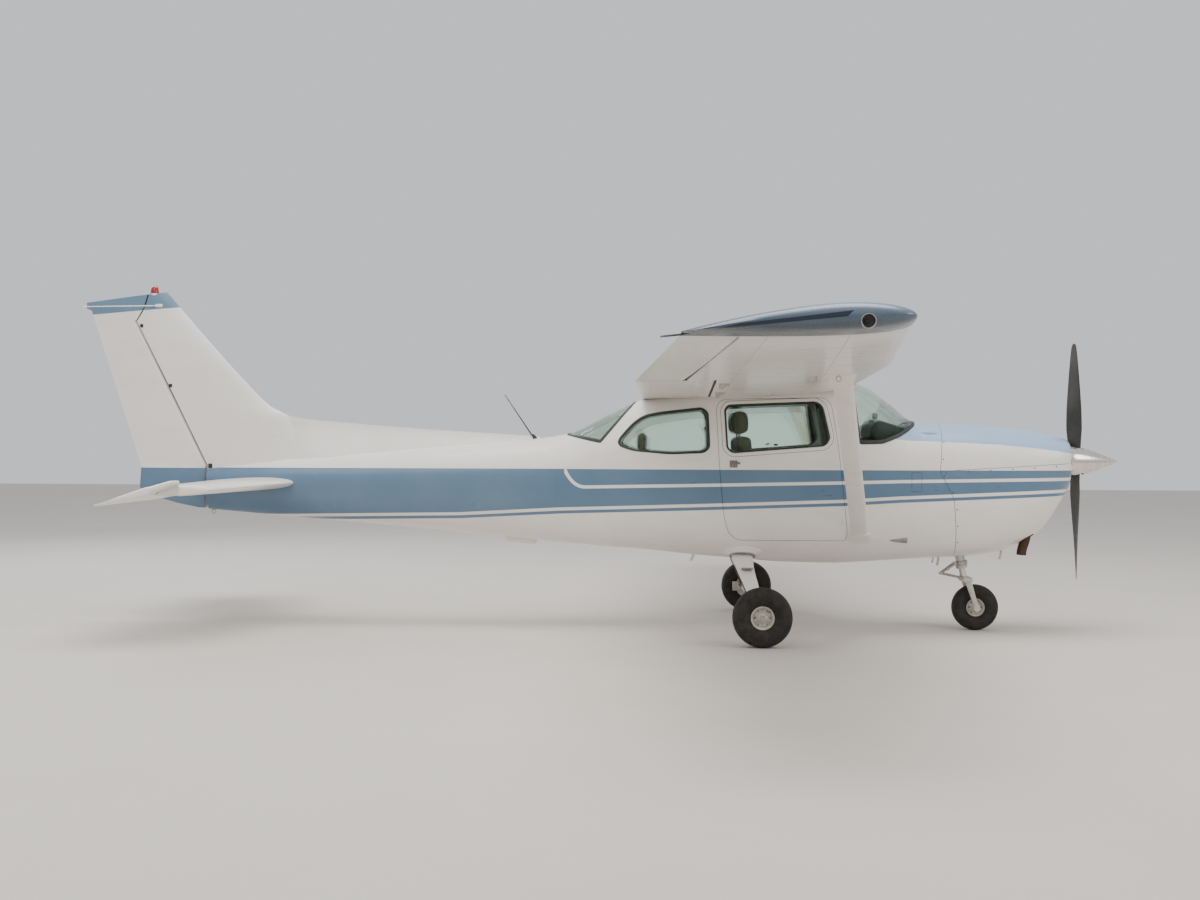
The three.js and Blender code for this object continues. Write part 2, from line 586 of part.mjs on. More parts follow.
// A flat tapered steel spring from the cabin floor out and down to the axle.
function gearLeg(side) {
  const path = [[-105, 300, 590, 80, 18], [-105, 430, 566, 78, 17], [-92, 620, 500, 66, 15],
    [-60, 840, 400, 54, 13], [-28, 1030, 298, 45, 12], [-6, 1120, 244, 42, 12], [0, 1152, 212, 42, 12]];
  const rings = path.map(([x, y, z, half, thick], i) => {
    const [, y0, z0] = path[Math.max(i - 1, 0)];
    const [, y1, z1] = path[Math.min(i + 1, path.length - 1)];
    const tilt = Math.atan2(z1 - z0, y1 - y0);
    const [ny, nz] = [-Math.sin(tilt) * thick, Math.cos(tilt) * thick];
    return [V(x - half, y, z), V(x - half * 0.7, y + ny, z + nz), V(x + half * 0.7, y + ny, z + nz),
      V(x + half, y, z), V(x + half * 0.7, y - ny, z - nz), V(x - half * 0.7, y - ny, z - nz)];
  });
  const foot = bar([0, 1140, mainWheel.radius], [0, 1166, mainWheel.radius], 46);
  const left = solid(loft(rings)).add(foot);
  const placed = side > 0 ? left : left.mirror([0, 1, 0]);
  return cut(placed, [outer, moved(outer, 0, 0, -gap)]);
}

function mainAxle(side) {
  const z = mainWheel.radius;
  const left = join([
    bar([0, 1166 + gap, z], [0, 1346, z], mainWheel.bore - 0.5),
    bar([0, 1166 + gap, z], [0, 1180, z], 44),
    box(-122, -66, 1168, 1192, z - 38, z + 42),
    box(-80, 0, 1167, 1175, z - 30, z + 30),
  ]);
  return side > 0 ? left : left.mirror([0, 1, 0]);
}

const steerPoint = (z) => {
  const [[x0, z0], [x1, z1]] = [steer.foot, steer.head];
  return [mix(x0, x1, (z - z0) / (z1 - z0)), 0, z];
};

const barrel = { radius: 36, foot: 478, collarTop: 500, top: 700 };

function noseBarrel() {
  const foot = steerPoint(barrel.foot);
  return bar(foot, steerPoint(barrel.top), barrel.radius).add(bar(foot, steerPoint(barrel.collarTop), 44));
}

function noseFork() {
  const arms = [1, -1].map((side) => {
    const y = side * forkY;
    return join([
      bar([1632, y, 388], [noseWheel.x, y, noseWheel.radius], 22, 17, 12),
      bar([noseWheel.x, y - 22, noseWheel.radius], [noseWheel.x, y + 22, noseWheel.radius], 26),
    ]);
  });
  const crown = box(1592, 1668, -112, 112, 372, 412);
  const piston = bar(steerPoint(395), steerPoint(473), 25);
  const axle = bar([noseWheel.x, -forkY, noseWheel.radius], [noseWheel.x, forkY, noseWheel.radius],
    noseWheel.bore - 0.5);
  return join([...arms, crown, piston, axle]);
}

// Scissor links behind the nose leg, and the collar that they hang from.
function torqueLinks() {
  const collar = bar(steerPoint(505), steerPoint(532), 50)
    .subtract(bar(steerPoint(490), steerPoint(545), barrel.radius + 5));
  const pins = [-34, 34].flatMap((y) => [
    bar([1546, y, 512], [1438, y * 0.5, 436], 9, 9, 8),
    bar([1438, y * 0.5, 436], [1586, y, 404], 9, 9, 8),
  ]);
  return join([collar, ...pins, bar([1438, -26, 436], [1438, 26, 436], 12, 12, 10),
    bar([1546, -42, 512], [1546, 42, 512], 12, 12, 10)]);
}

// ---------------------------------------------------------------- engine and propeller

function cowls() {
  const shell = fuselageLoft(0, 0, 11).subtract(fuselageLoft(wall.cowl, 0, 11)
    .add(box(1000, 1300, -farSide, farSide, 0, 3000)));
  const nose = shell.intersect(prism([...shrunkEdge(0.4), [2600, 400], [2600, 1700]], -farSide, farSide));
  const inletRing = (x, side) => Array.from({ length: 12 }, (_, i) => {
    const angle = (Math.PI * i) / 6;
    return V(x, side * 262 + 92 * Math.cos(angle), 1306 + 62 * Math.sin(angle));
  });
  const inlets = [1, -1].map((side) => solid(loft([2250, 2500].map((x) => inletRing(x, side)))));
  const openings = [...inlets, bar([2300, 0, propeller.z], [2500, 0, propeller.z], 70),
    bar([1657, 0, 176], [1557, 0, 722], 62), bar([2000, -180, 500], [2072, -180, 860], 62)];
  const whole = cut(nose, openings);
  const above = prism([cowlSeam[0], cowlSeam[1], [2500, 1900], [1300, 1900]], -farSide, farSide);
  return { upper: moved(whole.intersect(above), 0, 0, gap), lower: whole.subtract(above) };
}

const shrunkEdge = (by) => cowlEdge.map(([x, z]) => [x + by, z]);

function exhaustPipe() {
  const route = [[2062, 900], [2050, 740], [2024, 660], [2016, 592]];
  const path = new THREE.CatmullRomCurve3(route.map(([x, z]) => V(x, -180, z)));
  const ring = new THREE.Shape().absarc(0, 0, 37, 0, 2 * Math.PI);
  return solid(new THREE.ExtrudeGeometry(ring, { steps: 6, curveSegments: 5, extrudePath: path }));
}

function leaned(body) {
  return moved(moved(body, 0, 0, -propeller.z).rotate([propeller.lean, 0, 0]), 0, 0, propeller.z);
}

// Blade sections out from the hub: radius, chord, pitch angle and thickness.
const bladeSections = [[40, 92, 62, 0.5], [150, 108, 52, 0.24], [260, 138, 43, 0.15], [420, 150, 33, 0.11],
  [600, 138, 25, 0.09], [760, 112, 20, 0.08], [865, 82, 17, 0.08],
  [propeller.diameter / 2, 34, 16, 0.08]];

function blade(side) {
  const rings = bladeSections.map(([radius, chord, pitch, thick]) => {
    const angle = THREE.MathUtils.degToRad(pitch);
    return sectionPoints(thick, 0.02, 0, 0.999).map(([u, v]) => {
      const [back, up] = [(u - 0.45) * chord, v * chord];
      return V(propeller.x - back * Math.sin(angle) + up * Math.cos(angle),
        side * (back * Math.cos(angle) + up * Math.sin(angle)), propeller.z + side * radius);
    });
  });
  return solid(loft(rings));
}

function propellerBody() {
  const hub = bar([2392, 0, propeller.z], [2510, 0, propeller.z], propeller.hub, propeller.hub, 24);
  const shaft = bar([2262, 0, propeller.z], [2394, 0, propeller.z], 40);
  return leaned(join([blade(1), blade(-1), hub, shaft]));
}

function spinnerBody() {
  const steps = Array.from({ length: 7 }, (_, i) => i / 6);
  const length = noseX - spinner.rim;
  const profile = steps.map((f) => new THREE.Vector2(spinner.base * (1 - f ** 1.35), f * length));
  const back = [0, spinner.base].map((r) => new THREE.Vector2(r, spinner.back - spinner.rim));
  const geometry = new THREE.LatheGeometry([...back, ...profile], 24);
  geometry.rotateZ(-Math.PI / 2);
  geometry.translate(spinner.rim, 0, propeller.z);
  const slots = [1, -1].map((side) =>
    leaned(moved(box(2398, 2518, -58, 58, -60, 60), 0, 0, propeller.z + side * 80)));
  return cut(solid(geometry), [...slots,
    bar([2380, 0, propeller.z], [2511, 0, propeller.z], propeller.hub + 1, propeller.hub + 1, 24)]);
}

// ---------------------------------------------------------------- cabin fittings

const floorTop = 702;
const seatSides = {
  cushion: [[-170, 905], [290, 925], [300, 1015], [-90, 985], [-120, 980]],
  back: [[-125, 930], [-202, 1430], [-165, 1486], [-72, 1492], [-32, 1440], [-20, 950]],
  head: [[-180, 1506], [-202, 1590], [-185, 1672], [-110, 1682], [-58, 1630], [-62, 1508]],
};
const frontSeat = { y: 250, width: 420, headWidth: 230, railY: 120 };
const rearSeatSides = {
  cushion: [[-940, 900], [-500, 925], [-490, 1010], [-880, 975]],
  back: [[-890, 960], [-950, 1330], [-890, 1372], [-838, 1352], [-772, 985]],
  head: [[-905, 1350], [-925, 1450], [-905, 1520], [-848, 1520], [-826, 1360]],
};

function seat(y) {
  const cushion = slab(seatSides.cushion, y, frontSeat.width);
  const back = slab(seatSides.back, y, frontSeat.width);
  const head = slab(seatSides.head, y, frontSeat.headWidth);
  const posts = box(-140, -110, y - 60, y + 60, 1470, 1530);
  const frame = [-1, 1].map((s) =>
    moved(box(-130, 260, -14, 14, floorTop + gap, 930), 0, y + s * frontSeat.railY, 0));
  return join([cushion, back, head, posts, ...frame]);
}

function rearSeat() {
  const cushion = slab(rearSeatSides.cushion, 0, 800);
  const back = slab(rearSeatSides.back, 0, 800);
  const heads = [-215, 215].map((y) => slab(rearSeatSides.head, y, 200));
  const base = box(-900, -520, -360, 360, floorTop + gap, 930);
  return join([cushion, back, ...heads, base]).intersect(fuselageLoft(wall.cabin + 2));
}

function instrumentPanel() {
  const board = slab([[905, 1080], [945, 1080], [960, 1440], [920, 1450]], 0, 910);
  const shade = slab([[835, 1475], [850, 1575], [905, 1636], [1130, 1560], [1130, 1440], [960, 1425],
    [900, 1440]], 0, 880);
  const compass = box(905, 960, -22, 22, 1600, 1690);
  return join([board, shade, compass]).intersect(fuselageLoft(wall.cabin + 2));
}

function yoke(y) {
  const shaft = bar([760, y, 1290], [912, y, 1290], 13);
  const wheel = join([box(738, 764, y - 130, y + 130, 1276, 1304),
    box(738, 764, y - 145, y - 117, 1276, 1390), box(738, 764, y + 117, y + 145, 1276, 1390)]);
  return shaft.add(wheel);
}

// ---------------------------------------------------------------- assembly

const finish = {
  white: { color: 0xe9e4dc, roughness: 0.35, metalness: 0.1 },
  blue: { color: 0x6f93ad, roughness: 0.35, metalness: 0.1 },
  glass: { color: 0xbfd8cb, roughness: 0.08, metalness: 0 },
  rubber: { color: 0x1d1d1e, roughness: 0.9, metalness: 0 },
  metal: { color: 0xb9b6b0, roughness: 0.3, metalness: 1 },
  dark: { color: 0x26282a, roughness: 0.6, metalness: 0 },
  trim: { color: 0x54503f, roughness: 0.85, metalness: 0 },
  rust: { color: 0x5b3a2a, roughness: 0.8, metalness: 0.6 },
  red: { color: 0xb3201c, roughness: 0.2, metalness: 0 },
};

const aircraft = new THREE.Group();
aircraft.position.x = -(noseX + tailX) / 2;

function add(name, look, body) {
  const mesh = new THREE.Mesh(surface(body), new THREE.MeshStandardMaterial(finish[look]));
  mesh.name = name;
  aircraft.add(mesh);
}

const sides = [["left", 1], ["right", -1]];
const cowl = cowls();

add("cabin_shell", "white", cabinShell());
add("tailcone", "white", cut(outer.subtract(fuselageLoft(wall.tailcone)), [
  box(cabinEnd - gap, 3000, -farSide, farSide, 0, 3000),
  bar([tailplane.hinge[0], -300, tailplane.hinge[1]], [tailplane.hinge[0], 300, tailplane.hinge[1]], 20)]));
const cabinSlice = (x0, x1, z0, z1) =>
  fuselageLoft(wall.cabin + gap).intersect(box(x0, x1, -farSide, farSide, z0, z1));
add("rear_bulkhead", "white", cabinSlice(-1490, -1478, 0, 3000));
add("firewall", "metal", cabinSlice(1326, 1338, 0, 3000));
add("cabin_floor", "trim", cabinSlice(-1470, 1320, floorTop - 12, floorTop));
add("upper_cowl", "white", cowl.upper);
add("lower_cowl", "white", cowl.lower);
add("engine_block", "metal", box(1590, 2190, -330, 330, 1000, 1420));
add("exhaust_pipe", "rust", exhaustPipe());
add("instrument_panel", "dark", instrumentPanel());
add("windshield", "glass", glassSkin.intersect(prism(shrunk(outline.windshield, gap), -farSide, farSide))
  .subtract(moved(roofSlab, 0, 0, -gap)));
add("rear_window", "glass", glassSkin.intersect(prism(shrunk(outline.rearWindow, gap), -farSide, farSide)));
const finBody = fin();
add("fin", "white", finBody);
add("rudder", "white", rudder());
add("elevator", "white", elevator());
const beaconX = -4788;
add("beacon", "red", bar([beaconX, 0, 2614], [beaconX, 0, 2666], 34, 28)
  .add(bar([beaconX, 0, 2666], [beaconX, 0, 2680], 28, 16)).subtract(moved(finBody, 0, 0, gap)));
add("radio_mast", "dark", bar([-1728, 0, 1470], [-1959, 0, 1812], 6, 3, 8)
  .subtract(moved(finBody, 0, 0, gap)));
add("belly_antenna", "white", slab([[-440, 590], [-470, 590], [-500, 512], [-478, 512]], 0, 10)
  .subtract(moved(outer, 0, 0, -gap)));
add("nose_barrel", "metal", noseBarrel());
add("nose_fork", "white", noseFork());
add("torque_links", "metal", torqueLinks());
add("propeller", "dark", propellerBody());
add("spinner", "metal", spinnerBody());

const noseCentre = [noseWheel.x, 0, noseWheel.radius];
add("nose_rim", "white", rim(noseWheel, noseCentre));
add("nose_tyre", "rubber", tyre(noseWheel, noseCentre));
add("rear_seat", "trim", rearSeat());
add("baggage_door", "white", door(outline.baggageDoor, 1));

for (const [name, side] of sides) {
  const wingBody = wing(side);
  add(`${name}_wing`, "white", emptied(wingBody, wingHollow, side));
  add(`${name}_wing_tip`, "blue", wingTip(side));
  add(`${name}_flap`, "white", hingedSurface(flap.inner, flap.outer, flap.hinge, flap.hinge, side));
  add(`${name}_aileron`, "white",
    hingedSurface(aileron.inner, aileron.outer, aileron.hingeInner, aileron.hingeOuter, side));
  add(`${name}_strut`, "white", wingStrut(side, wingBody));
  add(`${name}_stabilizer`, "white", tailplaneHalf(side));
  add(`${name}_door`, "white", door(outline.door, side).subtract(sideCut(outline.doorGlass, side)));
  add(`${name}_door_glass`, "glass", paneSide(outline.doorGlass, side));
  add(`${name}_rear_glass`, "glass", paneSide(outline.rearGlass, side));
  add(`${name}_gear_leg`, "white", gearLeg(side));
  add(`${name}_axle`, "metal", mainAxle(side));
  const centre = [0, side * mainWheel.y, mainWheel.radius];
  add(`${name}_main_rim`, "white", rim(mainWheel, centre));
  add(`${name}_main_tyre`, "rubber", tyre(mainWheel, centre));
  add(`${name}_seat`, "trim", seat(side * frontSeat.y));
  add(`${name}_yoke`, "dark", yoke(side * frontSeat.y));
}

export default aircraft;
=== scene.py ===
import math

import bmesh
import bpy
from mathutils import Matrix, Vector


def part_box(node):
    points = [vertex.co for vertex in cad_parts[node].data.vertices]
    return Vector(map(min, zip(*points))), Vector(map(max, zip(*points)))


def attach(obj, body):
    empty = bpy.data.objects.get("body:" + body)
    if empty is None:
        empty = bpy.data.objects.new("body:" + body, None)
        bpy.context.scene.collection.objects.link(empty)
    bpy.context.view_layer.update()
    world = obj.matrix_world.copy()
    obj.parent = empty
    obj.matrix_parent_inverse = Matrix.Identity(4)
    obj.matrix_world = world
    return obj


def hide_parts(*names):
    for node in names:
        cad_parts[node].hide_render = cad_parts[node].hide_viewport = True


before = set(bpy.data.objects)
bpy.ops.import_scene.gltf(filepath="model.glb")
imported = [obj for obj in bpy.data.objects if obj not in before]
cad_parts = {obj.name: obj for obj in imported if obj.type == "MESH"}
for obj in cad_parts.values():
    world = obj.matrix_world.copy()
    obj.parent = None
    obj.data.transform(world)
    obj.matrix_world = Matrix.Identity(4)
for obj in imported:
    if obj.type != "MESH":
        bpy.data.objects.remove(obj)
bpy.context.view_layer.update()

scene = bpy.context.scene
axleX = sum(p.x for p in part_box("left_main_tyre")) / 2   # stations below are metres ahead of the main axle


# ---- small helpers


def mix(a, b, f):
    return a + (b - a) * f


def lookup(table, key):
    # straight lines through a list of (key, value)
    rows = sorted(table)
    if key <= rows[0][0]:
        return rows[0][1]
    for (k0, v0), (k1, v1) in zip(rows, rows[1:]):
        if key <= k1:
            return mix(v0, v1, (key - k0) / (k1 - k0))
    return rows[-1][1]


def tempObject(verts, faces, name="scratch"):
    mesh = bpy.data.meshes.new(name)
    mesh.from_pydata([tuple(v) for v in verts], [], faces)
    mesh.validate()
    obj = bpy.data.objects.new(name, mesh)
    scene.collection.objects.link(obj)
    bm = bmesh.new()
    bm.from_mesh(mesh)
    bmesh.ops.recalc_face_normals(bm, faces=bm.faces)
    bm.to_mesh(mesh)
    bm.free()
    return obj


def applyAll(obj):
    # bakes the modifiers of an object into its mesh
    graph = bpy.context.evaluated_depsgraph_get()
    baked = bpy.data.meshes.new_from_object(obj.evaluated_get(graph))
    obj.modifiers.clear()
    old = obj.data
    obj.data = baked
    bpy.data.meshes.remove(old)
    return obj


def combine(obj, other, operation="DIFFERENCE"):
    tool = obj.modifiers.new("cut", "BOOLEAN")
    tool.operation = operation
    tool.solver = "EXACT"
    tool.object = other
    applyAll(obj)
    bpy.data.objects.remove(other)
    return obj


def gather(objs, name="joined"):
    # several scratch objects become one
    bm = bmesh.new()
    for o in objs:
        bm.from_mesh(o.data)
        bpy.data.objects.remove(o)
    mesh = bpy.data.meshes.new(name)
    bm.to_mesh(mesh)
    bm.free()
    obj = bpy.data.objects.new(name, mesh)
    scene.collection.objects.link(obj)
    return obj


def finishPiece(obj, name, material, body="airframe", nodes=(), sharp=35, smooth=True):
    # shifts a scratch object into the frame and hands it over as a finished piece
    obj.name = obj.data.name = name
    obj.data.transform(Matrix.Translation((axleX, 0, 0)))
    obj.data.materials.clear()
    obj.data.materials.append(material)
    for poly in obj.data.polygons:
        poly.use_smooth = smooth
        poly.material_index = 0
    if smooth:
        obj.data.set_sharp_from_angle(angle=math.radians(sharp))
    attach(obj, body)
    if nodes:
        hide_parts(*nodes)
    return obj


def loft(rings, closedEnds=True, wrap=True):
    n = len(rings[0])
    verts = [p for ring in rings for p in ring]
    faces = []
    for r in range(len(rings) - 1):
        for i in range(n if wrap else n - 1):
            j = (i + 1) % n
            faces.append((r * n + i, r * n + j, (r + 1) * n + j, (r + 1) * n + i))
    if closedEnds:
        faces.append(tuple(range(n)))
        faces.append(tuple((len(rings) - 1) * n + i for i in reversed(range(n))))
    return tempObject(verts, faces)


def prism(points, y0, y1):
    return loft([[(x, y, z) for x, z in points] for y in (y0, y1)])


def block(x0, x1, y0, y1, z0, z1):
    return loft([[(x, y, z0), (x, y, z1), (x1 if x == x0 else x0, y, z1), (x1 if x == x0 else x0, y, z0)]
                 for y in (y0, y1) for x in (x0,)])


def softBlock(x0, x1, y0, y1, z0, z1, edge=0.004, segments=3):
    obj = block(x0, x1, y0, y1, z0, z1)
    tool = obj.modifiers.new("edge", "BEVEL")
    tool.width = edge
    tool.segments = segments
    return applyAll(obj)


def rod(path, radius, sides=16, closedEnds=True):
    # a round tube through a list of points, its radius a number or one number a point
    radii = radius if isinstance(radius, (list, tuple)) else [radius] * len(path)
    pts = [Vector(p) for p in path]
    rings, side = [], None
    for i, p in enumerate(pts):
        t = (pts[min(i + 1, len(pts) - 1)] - pts[max(i - 1, 0)]).normalized()
        if side is None:
            side = t.orthogonal().normalized()
        side = (side - t * side.dot(t)).normalized()
        up = t.cross(side)
        rings.append([p + radii[i] * (math.cos(a) * side + math.sin(a) * up)
                      for a in (2 * math.pi * k / sides for k in range(sides))])
    return loft(rings, closedEnds)


def turned(profile, centre, axis="y", segments=64):
    # a closed profile of (radius, along) turned about a line through centre
    rings = []
    for k in range(segments):
        a = 2 * math.pi * k / segments
        c, s = math.cos(a), math.sin(a)
        ring = []
        for r, h in profile:
            p = {"y": (r * c, h, r * s), "x": (h, r * c, r * s), "z": (r * c, r * s, h)}[axis]
            ring.append(Vector(p) + Vector(centre))
        rings.append(ring)
    n = len(profile)
    verts = [p for ring in rings for p in ring]
    faces = []
    for k in range(segments):
        m = (k + 1) % segments
        faces += [(k * n + i, k * n + (i + 1) % n, m * n + (i + 1) % n, m * n + i) for i in range(n)]
    obj = tempObject(verts, faces)
    bm = bmesh.new()
    bm.from_mesh(obj.data)
    bmesh.ops.remove_doubles(bm, verts=bm.verts, dist=1e-6)
    bmesh.ops.recalc_face_normals(bm, faces=bm.faces)
    bm.to_mesh(obj.data)
    bm.free()
    return obj


def roundCorners(points, radius, steps=5):
    # each corner of a closed outline becomes a short curve
    result = []
    for i, p in enumerate(points):
        p = Vector(p)
        before, after = Vector(points[i - 1]) - p, Vector(points[(i + 1) % len(points)]) - p
        reach = min(radius, before.length * 0.45, after.length * 0.45)
        a, b = p + before.normalized() * reach, p + after.normalized() * reach
        for k in range(steps + 1):
            t = k / steps
            result.append(tuple((1 - t) ** 2 * a + 2 * t * (1 - t) * p + t * t * b))
    return result


def offsetOutline(points, by):
    # a positive distance draws a closed outline inwards
    turn = sum(a[0] * b[1] - b[0] * a[1] for a, b in zip(points, points[1:] + points[:1]))
    sign = 1 if turn > 0 else -1
    result = []
    for i, p in enumerate(points):
        q, r = points[i - 1], points[(i + 1) % len(points)]
        d = (Vector(p) - Vector(q)).normalized() + (Vector(r) - Vector(p)).normalized()
        d = d.normalized() if d.length > 1e-9 else Vector((1, 0))
        result.append((p[0] - d.y * sign * by, p[1] + d.x * sign * by))
    return result


# ---- materials

def nodeTree(name):
    material = bpy.data.materials.new(name)
    material.use_nodes = True
    tree = material.node_tree
    return material, tree, tree.nodes["Principled BSDF"]


def math1(tree, operation, a, b=None, c=None, clamp=False):
    node = tree.nodes.new("ShaderNodeMath")
    node.operation = operation
    node.use_clamp = clamp
    for socket, value in zip(node.inputs, (a, b, c)):
        if value is None:
            continue
        if isinstance(value, (int, float)):
            socket.default_value = value
        else:
            tree.links.new(value, socket)
    return node.outputs[0]


def noise(tree, scale, detail=4, rough=0.55, stretch=(1, 1, 1)):
    place = tree.nodes.new("ShaderNodeTexCoord")
    shape = tree.nodes.new("ShaderNodeMapping")
    shape.inputs["Scale"].default_value = stretch
    cloud = tree.nodes.new("ShaderNodeTexNoise")
    cloud.inputs["Scale"].default_value = scale
    cloud.inputs["Detail"].default_value = detail
    cloud.inputs["Roughness"].default_value = rough
    tree.links.new(place.outputs["Object"], shape.inputs["Vector"])
    tree.links.new(shape.outputs[0], cloud.inputs["Vector"])
    return cloud.outputs["Fac"]


def rangeOf(tree, value, low, high, newLow, newHigh):
    node = tree.nodes.new("ShaderNodeMapRange")
    node.inputs["From Min"].default_value = low
    node.inputs["From Max"].default_value = high
    node.inputs["To Min"].default_value = newLow
    node.inputs["To Max"].default_value = newHigh
    tree.links.new(value, node.inputs["Value"])
    return node.outputs[0]


def blendColours(tree, factor, a, b):
    node = tree.nodes.new("ShaderNodeMix")
    node.data_type = "RGBA"
    for socket, value in ((node.inputs[6], a), (node.inputs[7], b)):
        if isinstance(value, tuple):
            socket.default_value = (*value, 1)
        else:
            tree.links.new(value, socket)
    tree.links.new(factor, node.inputs[0])
    return node.outputs[2]


def bump(tree, shader, height, strength, distance):
    node = tree.nodes.new("ShaderNodeBump")
    node.inputs["Strength"].default_value = strength
    node.inputs["Distance"].default_value = distance
    tree.links.new(height, node.inputs["Height"])
    tree.links.new(node.outputs[0], shader.inputs["Normal"])


def plainMaterial(name, colour, second, roughness=(0.4, 0.6), metallic=0.0, grain=60, fine=None,
                  bumpDepth=0.0004, coat=0.0, patches=0.5, stretch=(1, 1, 1), sheen=0.0):
    # two mixed tones, uneven gloss and a fine grain
    material, tree, shader = nodeTree(name)
    cloud = noise(tree, grain, 5, 0.6, stretch)
    small = noise(tree, fine or grain * 7, 3, 0.5, stretch)
    tone = rangeOf(tree, cloud, 0.5 - 0.2 * patches, 0.5 + 0.2 * patches, 0, 1)
    tree.links.new(blendColours(tree, tone, colour, second), shader.inputs["Base Color"])
    tree.links.new(rangeOf(tree, small, 0.3, 0.7, *roughness), shader.inputs["Roughness"])
    shader.inputs["Metallic"].default_value = metallic
    shader.inputs["Coat Weight"].default_value = coat
    shader.inputs["Coat Roughness"].default_value = 0.12
    shader.inputs["Sheen Weight"].default_value = sheen
    bump(tree, shader, small, 0.5, bumpDepth)
    return material


# the blue bands, as heights above the ground at stations along the fuselage
stripes = {
    "top": [(-5.4, 1.222), (-3.64, 1.229), (-1.5, 1.236), (0.65, 1.240), (2.4, 1.243)],
    "upperLine": [(-1.32, 1.099), (0.65, 1.1455), (1.05, 1.157), (2.4, 1.180)],
    "lowerLine": [(-5.4, 0.80), (-3.9, 0.845), (-2.28, 0.881), (-1.5, 0.928), (0.65, 1.0085), (1.05, 1.034),
                  (2.4, 1.094)],
    "cowlTop": [(0.85, 1.505), (1.09, 1.463), (1.35, 1.455), (1.8, 1.434), (2.1, 1.405), (2.4, 1.362)],
    "lineWidth": 0.025, "thinWidth": 0.024, "branch": (-1.462, 1.238), "branchEnd": -1.287,
    "white": (0.84, 0.805, 0.755), "whiteShade": (0.78, 0.745, 0.69),
    "blue": (0.088, 0.168, 0.262), "blueShade": (0.118, 0.205, 0.300), "paleBlue": (0.30, 0.425, 0.59),
}


def heightLine(tree, x, table, spread=0.0):
    # a height that follows a table of (station, height) along the fuselage
    low, high = table[0][0] + axleX, table[-1][0] + axleX
    share = rangeOf(tree, x, low, high, 0, 1)
    node = tree.nodes.new("ShaderNodeFloatCurve")
    curve = node.mapping.curves[0]
    base, tall = 0.7, 1.0
    for i, (station, height) in enumerate(table):
        u, v = (station + axleX - low) / (high - low), (height - base) / tall
        if i in (0, len(table) - 1):
            curve.points[0 if i == 0 else -1].location = (u, v)
        else:
            curve.points.new(u, v)
    for point in curve.points:
        point.handle_type = "VECTOR"
    node.mapping.update()
    tree.links.new(share, node.inputs["Value"])
    return math1(tree, "ADD", math1(tree, "MULTIPLY", node.outputs[0], tall), base + spread)


def above(tree, z, line):
    # 1 where z is over the line, with an edge a millimetre wide
    return math1(tree, "MULTIPLY", math1(tree, "SUBTRACT", z, line), 900, clamp=True)


def between(tree, z, low, high):
    return math1(tree, "SUBTRACT", above(tree, z, low), above(tree, z, high), clamp=True)


def near(tree, z, line, width):
    gap = math1(tree, "ABSOLUTE", math1(tree, "SUBTRACT", z, line))
    return math1(tree, "MULTIPLY", math1(tree, "SUBTRACT", width / 2, gap), 900, clamp=True)


